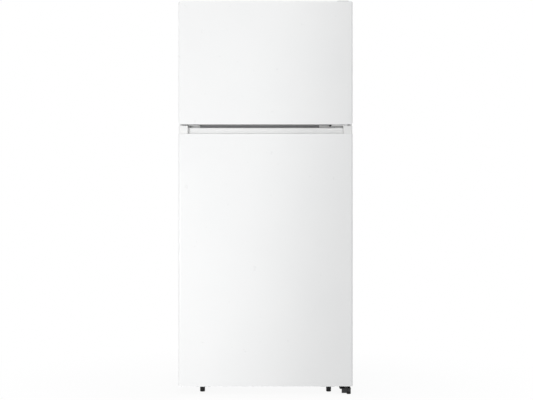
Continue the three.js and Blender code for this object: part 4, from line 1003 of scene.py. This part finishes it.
def fin_stack(node, name, slot, fins, rows, columns):
    """Thin fins on a serpentine of tube that shows its bends at both ends."""
    x, y, z = spans(node)
    inside = wider(x, -14 * MM)
    parts = []
    for i in range(fins):
        at = inside[0] + (inside[1] - inside[0]) * i / (fins - 1)
        parts.append(block(off(at, -0.15, 0.15), y, z))
    ready(gathered(parts), name + "_fins", "cabinet", slot, [node])
    bar = 4 * MM
    middle, reach = (x[0] + x[1]) / 2, (x[1] - x[0]) / 2
    path = []
    side = 1
    for column in range(columns):
        at = y[0] + (y[1] - y[0]) * (column + 0.5) / columns
        heights = [z[0] + (z[1] - z[0]) * (row + 0.5) / rows for row in range(rows)]
        for level in heights if column % 2 == 0 else heights[::-1]:
            path.append((middle - side * reach + side * bar, at, level))
            path.append((middle + side * reach - side * bar, at, level))
            side = -side
    ready(tube(bent(path, 9 * MM), bar, 10), name + "_tube", "cabinet", slot)


fin_stack("evaporator", "evaporator", "aluminium", 64, 6, 2)
fin_stack("condenser_coil", "condenser", "black_steel", 44, 7, 4)


def fan_rotor(node, name, axis, blades, hub):
    """A moulded rotor: a round hub and swept blades that twist towards their tips."""
    low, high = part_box(node)
    centre = (low + high) / 2
    size = high - low
    index = "xyz".index(axis)
    thick = size[index]
    radius = max(size[i] for i in range(3) if i != index) / 2 - 0.2 * MM
    root = hub * 0.92
    put = AXES[axis]
    across, along = 10, 8

    def surface(bm, blade, side):
        """A grid of points over one side of a blade."""
        grid = []
        for i in range(along + 1):
            t = i / along
            r = root + (radius - root) * t
            pitch = math.radians(42 - 16 * t)
            chord = radius * (0.52 + 0.34 * t) * (1 - 0.25 * max(0.0, t - 0.8) / 0.2)
            sweep = math.radians(14) * t
            row = []
            for k in range(across + 1):
                u = 2 * k / across - 1  # from the trailing edge to the leading edge
                c = (k / across - 0.5) * chord
                rise = 0.05 * chord * (1 - u ** 2)
                half = 0.7 * MM * (1 - abs(u) ** 3) + 0.25 * MM
                angle = 2 * math.pi * blade / blades + sweep + c * math.cos(pitch) / r
                w = c * math.sin(pitch) * (thick / (radius * 0.6)) + rise + side * half
                w = max(-thick / 2, min(thick / 2, w))
                row.append(bm.verts.new(Vector(put(r * math.cos(angle), r * math.sin(angle), w)) + centre))
            grid.append(row)
        return grid

    rim = [(i, 0) for i in range(along)] + [(along, k) for k in range(across)]
    rim += [(i, across) for i in range(along, 0, -1)] + [(0, k) for k in range(across, 0, -1)]
    parts = [rod(hub, centre - Vector(put(0, 0, thick / 2)), thick, axis, 40, 2.5 * MM)]
    for blade in range(blades):
        bm = bmesh.new()
        back, front = surface(bm, blade, -1), surface(bm, blade, 1)
        for grid in (back, front):
            for i in range(along):
                for k in range(across):
                    bm.faces.new([grid[i][k], grid[i + 1][k], grid[i + 1][k + 1], grid[i][k + 1]])
        for (i, k), (j, m) in zip(rim, rim[1:] + rim[:1]):
            bm.faces.new([back[i][k], back[j][m], front[j][m], front[i][k]])
        parts.append(from_bmesh("blade", bm))
    ready(gathered(parts), name, BODY_OF[node], "dark_trim", [node])


fan_rotor("evaporator_fan", "evaporator_rotor", "y", 4, 15 * MM)
fan_rotor("condenser_fan", "condenser_rotor", "x", 5, 17 * MM)


def wire_shelf():
    """Coated wire: a round frame, thin wires that turn up at the front and a top rail."""
    node = "freezer_shelf"
    x, y, z = spans(node)
    level, thick, thin = z[0] + 3 * MM, 3 * MM, 1.7 * MM
    front, back = y[0] + 4 * MM, y[1] - thick
    left, right = wider(x, -thick)
    top = z[1] - thin
    loop = [(right, front), (right, back), (left, back), (left, front), (0, front)]
    rail = [(left, front, level), (left, front, top), (right, front, top), (right, front, level)]
    parts = [tube(bent([(u, v, level) for u, v in [(0, front), *loop]], 12 * MM), thick, 14)]
    parts.append(tube(bent(rail, 8 * MM), thin, 12))
    wires = 27
    lift = level + thick - 0.4 * MM
    turn = front + 0.6 * MM
    for i in range(1, wires):
        at = left + (right - left) * i / wires
        parts.append(tube(bent([(at, back, lift), (at, turn, lift), (at, turn, top)], 5 * MM, 4), thin * 0.8, 8))
    for share in (0.35, 0.68):
        at = front + (back - front) * share
        parts.append(tube([(left, at, level - 0.6 * MM), (right, at, level - 0.6 * MM)], thin, 10))
    ready(gathered(parts), "freezer_wire_shelf", "cabinet", "white_wire", [node])


wire_shelf()

# ---- Fridge compartment ----

for level in ("upper", "lower"):
    refined("shelf_frame_" + level, "shelf_rim_" + level, 1.6 * MM, 3)
    refined("shelf_glass_" + level, "shelf_pane_" + level, 0.5 * MM)
refined("crisper_cover_frame", "crisper_cover_rim", 1.6 * MM, 3)
refined("crisper_cover_glass", "crisper_cover_pane", 0.5 * MM)


def crisper_drawer(node):
    """A clear drawer with a rounded base, a taller front and a lip for the fingers."""
    x, y, z = spans(node)
    inset = wider(x, -0.5 * MM)
    heights = (z[0] + 0.4 * MM, z[1] - 12 * MM)
    body = tub(inset, (y[0] + 1 * MM, y[1]), heights, 2.5 * MM, mm(4, 4, 14, 14), 7 * MM)
    outline = rounded(x, (z[0], z[1] - 1 * MM), mm(8, 8, 3, 3), 6)
    panel = eased(prism(outline, "y", off(y[0], 0, 4.5)), 1.2 * MM, 3, 50)
    lip = eased(block(inset, off(y[0], 0.4, 22), off(z[1], -2.6, 0)), 1.0 * MM, 3)
    drip = eased(block(wider(x, -3 * MM), off(y[0], 18.8, 21.6), off(z[1], -9, -0.7)), 0.9 * MM, 3)
    ribs = []
    for i in range(4):
        low = z[0] + 40 * MM + i * 14 * MM
        ribs.append(eased(block(wider(x, -30 * MM), off(y[0], 3, 6), off(low, 0, 5)), 1.0 * MM, 2))
    ready(fuse(body, panel, lip, drip, *ribs), node + "_drawer", BODY_OF[node], "clear_plastic", [node])


crisper_drawer("crisper_right")
crisper_drawer("crisper_left")


def air_column():
    """The duct up the back wall, with a louvre at each level."""
    x, y, z = both(62 * MM), mm(303, 320.5), mm(372, 1036)
    column = eased(prism(rounded(x, z, 10 * MM, 6), "y", y), 5 * MM, 4, 50)
    for i in range(7):
        level = z[0] + 60 * MM + i * 88 * MM
        for sides in (mm(-48, -14), mm(14, 48)):
            for k in range(3):
                low = level + k * 9 * MM
                column = cut(column, block(sides, off(y[0], -1, 5), off(low, 0, 4.5)))
    ready(column, "fridge_air_column", "cabinet", "white_trim")


air_column()


def control_box():
    """The lamp and thermostat housing under the fridge ceiling."""
    node = "control_housing"
    x, y, z = spans(node)
    wall = 2.5 * MM
    outer = prism(rounded(x, y, mm(14, 14, 6, 6), 8), "z", (z[0], z[1] + 20 * MM))
    inside = rounded(wider(x, -wall), wider(y, -wall), mm(11.5, 11.5, 3.5, 3.5), 8)
    cutters = [
        block(wider(x, 5 * MM), wider(y, 5 * MM), off(z[1], 0, 30)),  # opens the top, and has to come first
        prism(inside, "z", (z[0] + wall, z[1] + 30 * MM)),
        block(mm(-120, 40), (y[0] + 50 * MM, y[1] - 30 * MM), off(z[0], -1, 4)),  # for the lens
        rod(4.4 * MM, (98 * MM, y[0] + 60 * MM, z[0] - 1 * MM), 5 * MM),  # for the dial's shaft
        rod(6.4 * MM, (-124 * MM, y[0] - 1 * MM, z[0] + 24 * MM), 5 * MM, "y"),  # for the door switch
    ]
    for i in range(10):
        cutters.append(block(off(i * 9 * MM - 40 * MM, 0, 3), off(y[0], -1, 4), off(z[0], 14, 34)))
    ready(cut(eased(outer, 3 * MM, 3, 50), *cutters), "control_box", "cabinet", "white_trim", [node])


control_box()


def lamp_cover():
    """A lens with prisms across it."""
    low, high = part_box("lamp_lens")
    lens = eased(copied("lamp_lens"), 0.5 * MM, 2)
    base = low.z - 0.1 * MM
    for i in range(15):
        at = low.x + 12 * MM + i * 10 * MM
        groove = [(at - 2.2 * MM, base), (at + 2.2 * MM, base), (at, low.z + 1.4 * MM)]
        lens = cut(lens, prism(groove, "y", (low.y + 8 * MM, high.y - 8 * MM)))
    ready(lens, "lamp_cover", "cabinet", "lamp_lens", ["lamp_lens"])


lamp_cover()


def knurled(x, y, radius, flutes, depth, groove_first):
    """An outline of a fluted round: two points in its groove and two on its ridge for each flute."""
    points = []
    for i in range(flutes * 4):
        angle = 2 * math.pi * i / (flutes * 4)
        r = radius - (depth if (i % 4 < 2) == groove_first else 0)
        points.append((x + r * math.cos(angle), y + r * math.sin(angle)))
    return points


def printed_digit(text, place):
    """A number printed on the underside of the housing."""
    curve = bpy.data.curves.new("digit", "FONT")
    curve.body = text
    curve.size = 8 * MM
    curve.align_x, curve.align_y = "CENTER", "CENTER"
    curve.extrude = 0.08 * MM
    glyph = link("digit", curve)
    glyph.rotation_euler = (math.pi, 0, 0)
    glyph.location = place
    bpy.context.view_layer.update()
    mesh = bpy.data.meshes.new_from_object(glyph.evaluated_get(bpy.context.evaluated_depsgraph_get()))
    mesh.transform(glyph.matrix_world)
    bpy.data.objects.remove(glyph)
    bm = bmesh.new()
    bm.from_mesh(mesh)
    bmesh.ops.remove_doubles(bm, verts=bm.verts, dist=1e-6)
    return from_bmesh("digit", bm)


def dial():
    """The temperature dial: a fluted rim, a finger bar and a pointer, with its scale printed on the housing."""
    node = "temperature_knob"
    low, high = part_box(node)
    x, y = (low.x + high.x) / 2, (low.y + high.y) / 2
    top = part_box("control_housing")[0].z - FIT
    disc = prism(knurled(x, y, 24 * MM, 30, 0.45 * MM, True), "z", (top - 6 * MM, top))
    bar = block(off(x, -4, 4), off(y, -21.5, 21.5), off(top, -13, -5))
    shaft = rod(4 * MM, (x, y, top - 1 * MM), 13.5 * MM)
    parts = [eased(disc, 0.5 * MM, 2, 60), eased(bar, 1.8 * MM, 4), shaft]
    ready(gathered(parts), "temperature_dial", BODY_OF[node], "white_trim", [node])
    mark = eased(block(off(x, -0.8, 0.8), off(y, -20, -12), off(top, -13.15, -12.5)), 0.05 * MM, 1)
    ready(mark, "dial_pointer", BODY_OF[node], "dark_trim", finish=INK)
    scale = 31 * MM
    for i in range(7):
        angle = math.radians(-225 + 45 * i)
        place = (x + scale * math.cos(angle), y + scale * math.sin(angle), top + FIT - 0.05 * MM)
        ready(printed_digit(str(i + 1), place), "dial_number_%d" % (i + 1), "cabinet", "dark_trim", finish=INK)


dial()


def turned(profile, centre, axis="z", sides=48):
    """A lathe piece whose profile is in millimetres."""
    return lathe([mm(*pair) for pair in profile], centre, axis, sides)


def switch_button():
    """The door switch's plunger, whose profile starts at its tip."""
    node = "door_switch_plunger"
    low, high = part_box(node)
    profile = [(0, 0), (3.5, 0.3), (5.4, 1.6), (6, 3.6), (6, 14.8), (8.4, 15.0)]
    profile += [(8.4, 17.6), (6, 17.8), (6, 22.2), (5.4, 22.5), (0, 22.5)]
    centre = (low + high) / 2
    centre.y = low.y
    ready(turned(profile, centre, "y"), "door_switch_button", BODY_OF[node], "white_trim", [node])


switch_button()

# ---- Feet and rollers ----

LOW_PAD = 6 * MM  # a pad lower than this belongs to a leg at the front corners
THREAD_PITCH = 1.5 * MM


def levelling_foot(pad, screw, name):
    """A pad with a rounded rim, and a fluted barrel on a threaded stud."""
    low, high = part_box(pad)
    x, y = (low.x + high.x) / 2, (low.y + high.y) / 2
    radius, tall = (high.x - low.x) / 2, high.z - low.z
    profile = [(0, 0), (radius - 2.2 * MM, 0), (radius - 0.6 * MM, 0.7 * MM), (radius, 2 * MM)]
    profile += [(radius, tall - 0.8 * MM), (radius - 0.8 * MM, tall), (0, tall)]
    ready(lathe(profile, (x, y, low.z)), name + "_pad", BODY_OF[pad], "black_plastic", [pad])
    under, top = span(screw, "z")
    shoulder = 9.7 * MM if tall < LOW_PAD else 21.4 * MM
    barrel = prism(knurled(x, y, radius, 14, 0.7 * MM, False), "z", (under, shoulder))
    at = shoulder - 1 * MM
    thread = [(0, at)]
    while at < top - 2 * THREAD_PITCH:
        thread += [(3.3 * MM, at), (4.0 * MM, at + 0.5 * THREAD_PITCH)]
        at += THREAD_PITCH
    thread += [(3.3 * MM, at), (3.0 * MM, top), (0, top)]
    parts = [eased(barrel, 0.5 * MM, 2, 60), lathe(thread, (x, y, 0), "z", 24)]
    ready(gathered(parts), name + "_barrel", BODY_OF[screw], "black_plastic", [screw], smooth=30)


levelling_foot("leg_pad_left", "leg_screw_left", "left_foot")
levelling_foot("leg_pad_right", "leg_screw_right", "right_foot")
levelling_foot("hinge_leg_pad", "hinge_leg_screw", "hinge_foot")

ROLLER = [  # radius and distance along the axle, in millimetres
    (4.5, 0), (9, 0), (9.4, 1.5), (15.2, 1.5), (15.6, 0.4), (17, 0.4), (18, 1.6), (18, 10.5), (17.4, 11.1),
    (17.4, 12.9), (18, 13.5), (18, 22.4), (17, 23.6), (15.6, 23.6), (15.2, 22.5), (9.4, 22.5), (9, 24), (4.5, 24),
]


def roller(node, name):
    """A wheel with a bore for its axle, a web and a grooved tread."""
    low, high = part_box(node)
    centre = Vector((low.x, (low.y + high.y) / 2, (low.z + high.z) / 2))
    sides = 56
    turns = [2 * math.pi * i / sides for i in range(sides)]
    bm = bmesh.new()
    rings = []
    for radius, along in ROLLER:
        r = radius * MM
        rings.append([bm.verts.new(centre + Vector((along * MM, r * math.cos(a), r * math.sin(a)))) for a in turns])
    skin(bm, rings, closed=True)
    ready(from_bmesh(name, bm), name, BODY_OF[node], "black_rubber", [node])


roller("rear_roller_left", "left_rear_wheel")
roller("rear_roller_right", "right_rear_wheel")

# ---- Back and machine compartment ----

refined("rear_panel", "back_sheet", 0.35 * MM)
refined("machine_deck", "compressor_deck", 0.4 * MM)
refined("machine_cover", "compressor_cover", 0.3 * MM)
refined("condenser_fan_bracket", "condenser_fan_frame", 0.4 * MM)


def back_screws():
    """Rows of screws along the machine compartment's cover and up the sides of the back panel."""
    low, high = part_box("machine_cover")
    shares = (0.02, 0.27, 0.5, 0.73, 0.98)
    places = [(low.x + (high.x - low.x) * share, z) for z in (low.z + 7 * MM, high.z - 7 * MM) for share in shares]
    for i, (x, z) in enumerate(places):
        screw = hex_screw((x, low.y + 0.9 * MM, z), "y", 3.4 * MM, 2.8 * MM)
        ready(screw, "cover_screw_%d" % i, "cabinet", "galvanised")
    low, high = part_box("rear_panel")
    shares = (0.06, 0.28, 0.5, 0.72, 0.94)
    places = [(x * (high.x - 24 * MM), low.z + (high.z - low.z) * share) for x in (-1, 1) for share in shares]
    for i, (x, z) in enumerate(places):
        screw = hex_screw((x, REAR - 1.5 * MM, z), "y", 3.2 * MM, 2.6 * MM)
        ready(screw, "panel_screw_%d" % i, "cabinet", "galvanised")


back_screws()

CAN = [
    (0, 13.8), (30, 14.5), (48, 19), (60, 28), (68, 40), (71.4, 52), (72, 60), (72, 74), (72.6, 75), (75, 75.4),
    (75, 80.6), (72.6, 81), (72, 82), (72, 100), (71, 110), (67.5, 121), (60, 133), (50, 141.5), (38, 147),
    (20, 149.6), (0, 150),
]
GROMMET = [
    (0, 0), (8, 0), (8, 3), (6.4, 4.4), (6.4, 5.6), (8, 7), (8, 9.8), (4.6, 9.8), (4.6, 15), (6.6, 15.4),
    (6.6, 17.4), (0, 17.8),
]
PIPES = [  # name, radius, and path from the foot of the compressor's middle, in millimetres
    ("suction", 4, [(40, 50, 96), (60, 76, 96), (60, 76, 190), (-30, 76, 212)]),
    ("discharge", 3, [(-30, 55, 60), (-52, 82, 60), (-130, 82, 30), (-220, 82, 30)]),
    ("process", 3, [(68, 10, 60), (92, 10, 60), (92, 10, 110)]),
]


def compressor_can():
    """A two-part steel can with its weld flange, on a foot plate with rubber mounts, and its pipes."""
    node = "compressor"
    x, y, base = 200 * MM, 266 * MM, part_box(node)[0].z

    def from_foot(u, v, w):
        return (x + u * MM, y + v * MM, base + w * MM)

    can = turned(CAN, (x, y, base), "z", 72)
    plate = prism(rounded(off(x, -80, 80), off(y, -62, 62), 14 * MM, 6), "z", off(base, 10, 14))
    ready(gathered([can, eased(plate, 1 * MM, 2, 50)]), "compressor_can", "cabinet", "black_steel", [node])
    for i, (u, v) in enumerate(((-70, -50), (-70, 50), (70, -50), (70, 50))):
        grommet = turned(GROMMET, from_foot(u, v, 0), "z", 28)
        ready(grommet, "compressor_mount_%d" % i, "cabinet", "black_rubber")
    box = eased(block(off(x, -100, -60), off(y, -26, 26), off(base, 48, 108)), 4 * MM, 4)
    ready(box, "compressor_terminal_box", "cabinet", "black_plastic")
    for name, radius, points in PIPES:
        path = bent([from_foot(*point) for point in points], 18 * MM, 8)
        ready(tube(path, radius * MM, 16), name + "_pipe", "cabinet", "aluminium", finish=COPPER)


compressor_can()

# The tray that catches the melt water, over the compressor.
tray = tub(mm(110, 292), mm(196, 336), mm(222, 252), 2 * MM, mm(12, 12, 12, 12), 5 * MM)
ready(tray, "melt_water_tray", "cabinet", "black_plastic")

GLAND = [(0, 0), (7.5, 0), (7.5, 1.4), (5.4, 2), (4.6, 4.2), (2.6, 4.2), (2.4, 1.5), (0, 1.5)]
gland_place = (HALF - 20 * MM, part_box("machine_cover")[0].y + 0.9 * MM, 100 * MM)
ready(turned(GLAND, gland_place, "y", 36), "supply_inlet", "cabinet", "black_rubber")
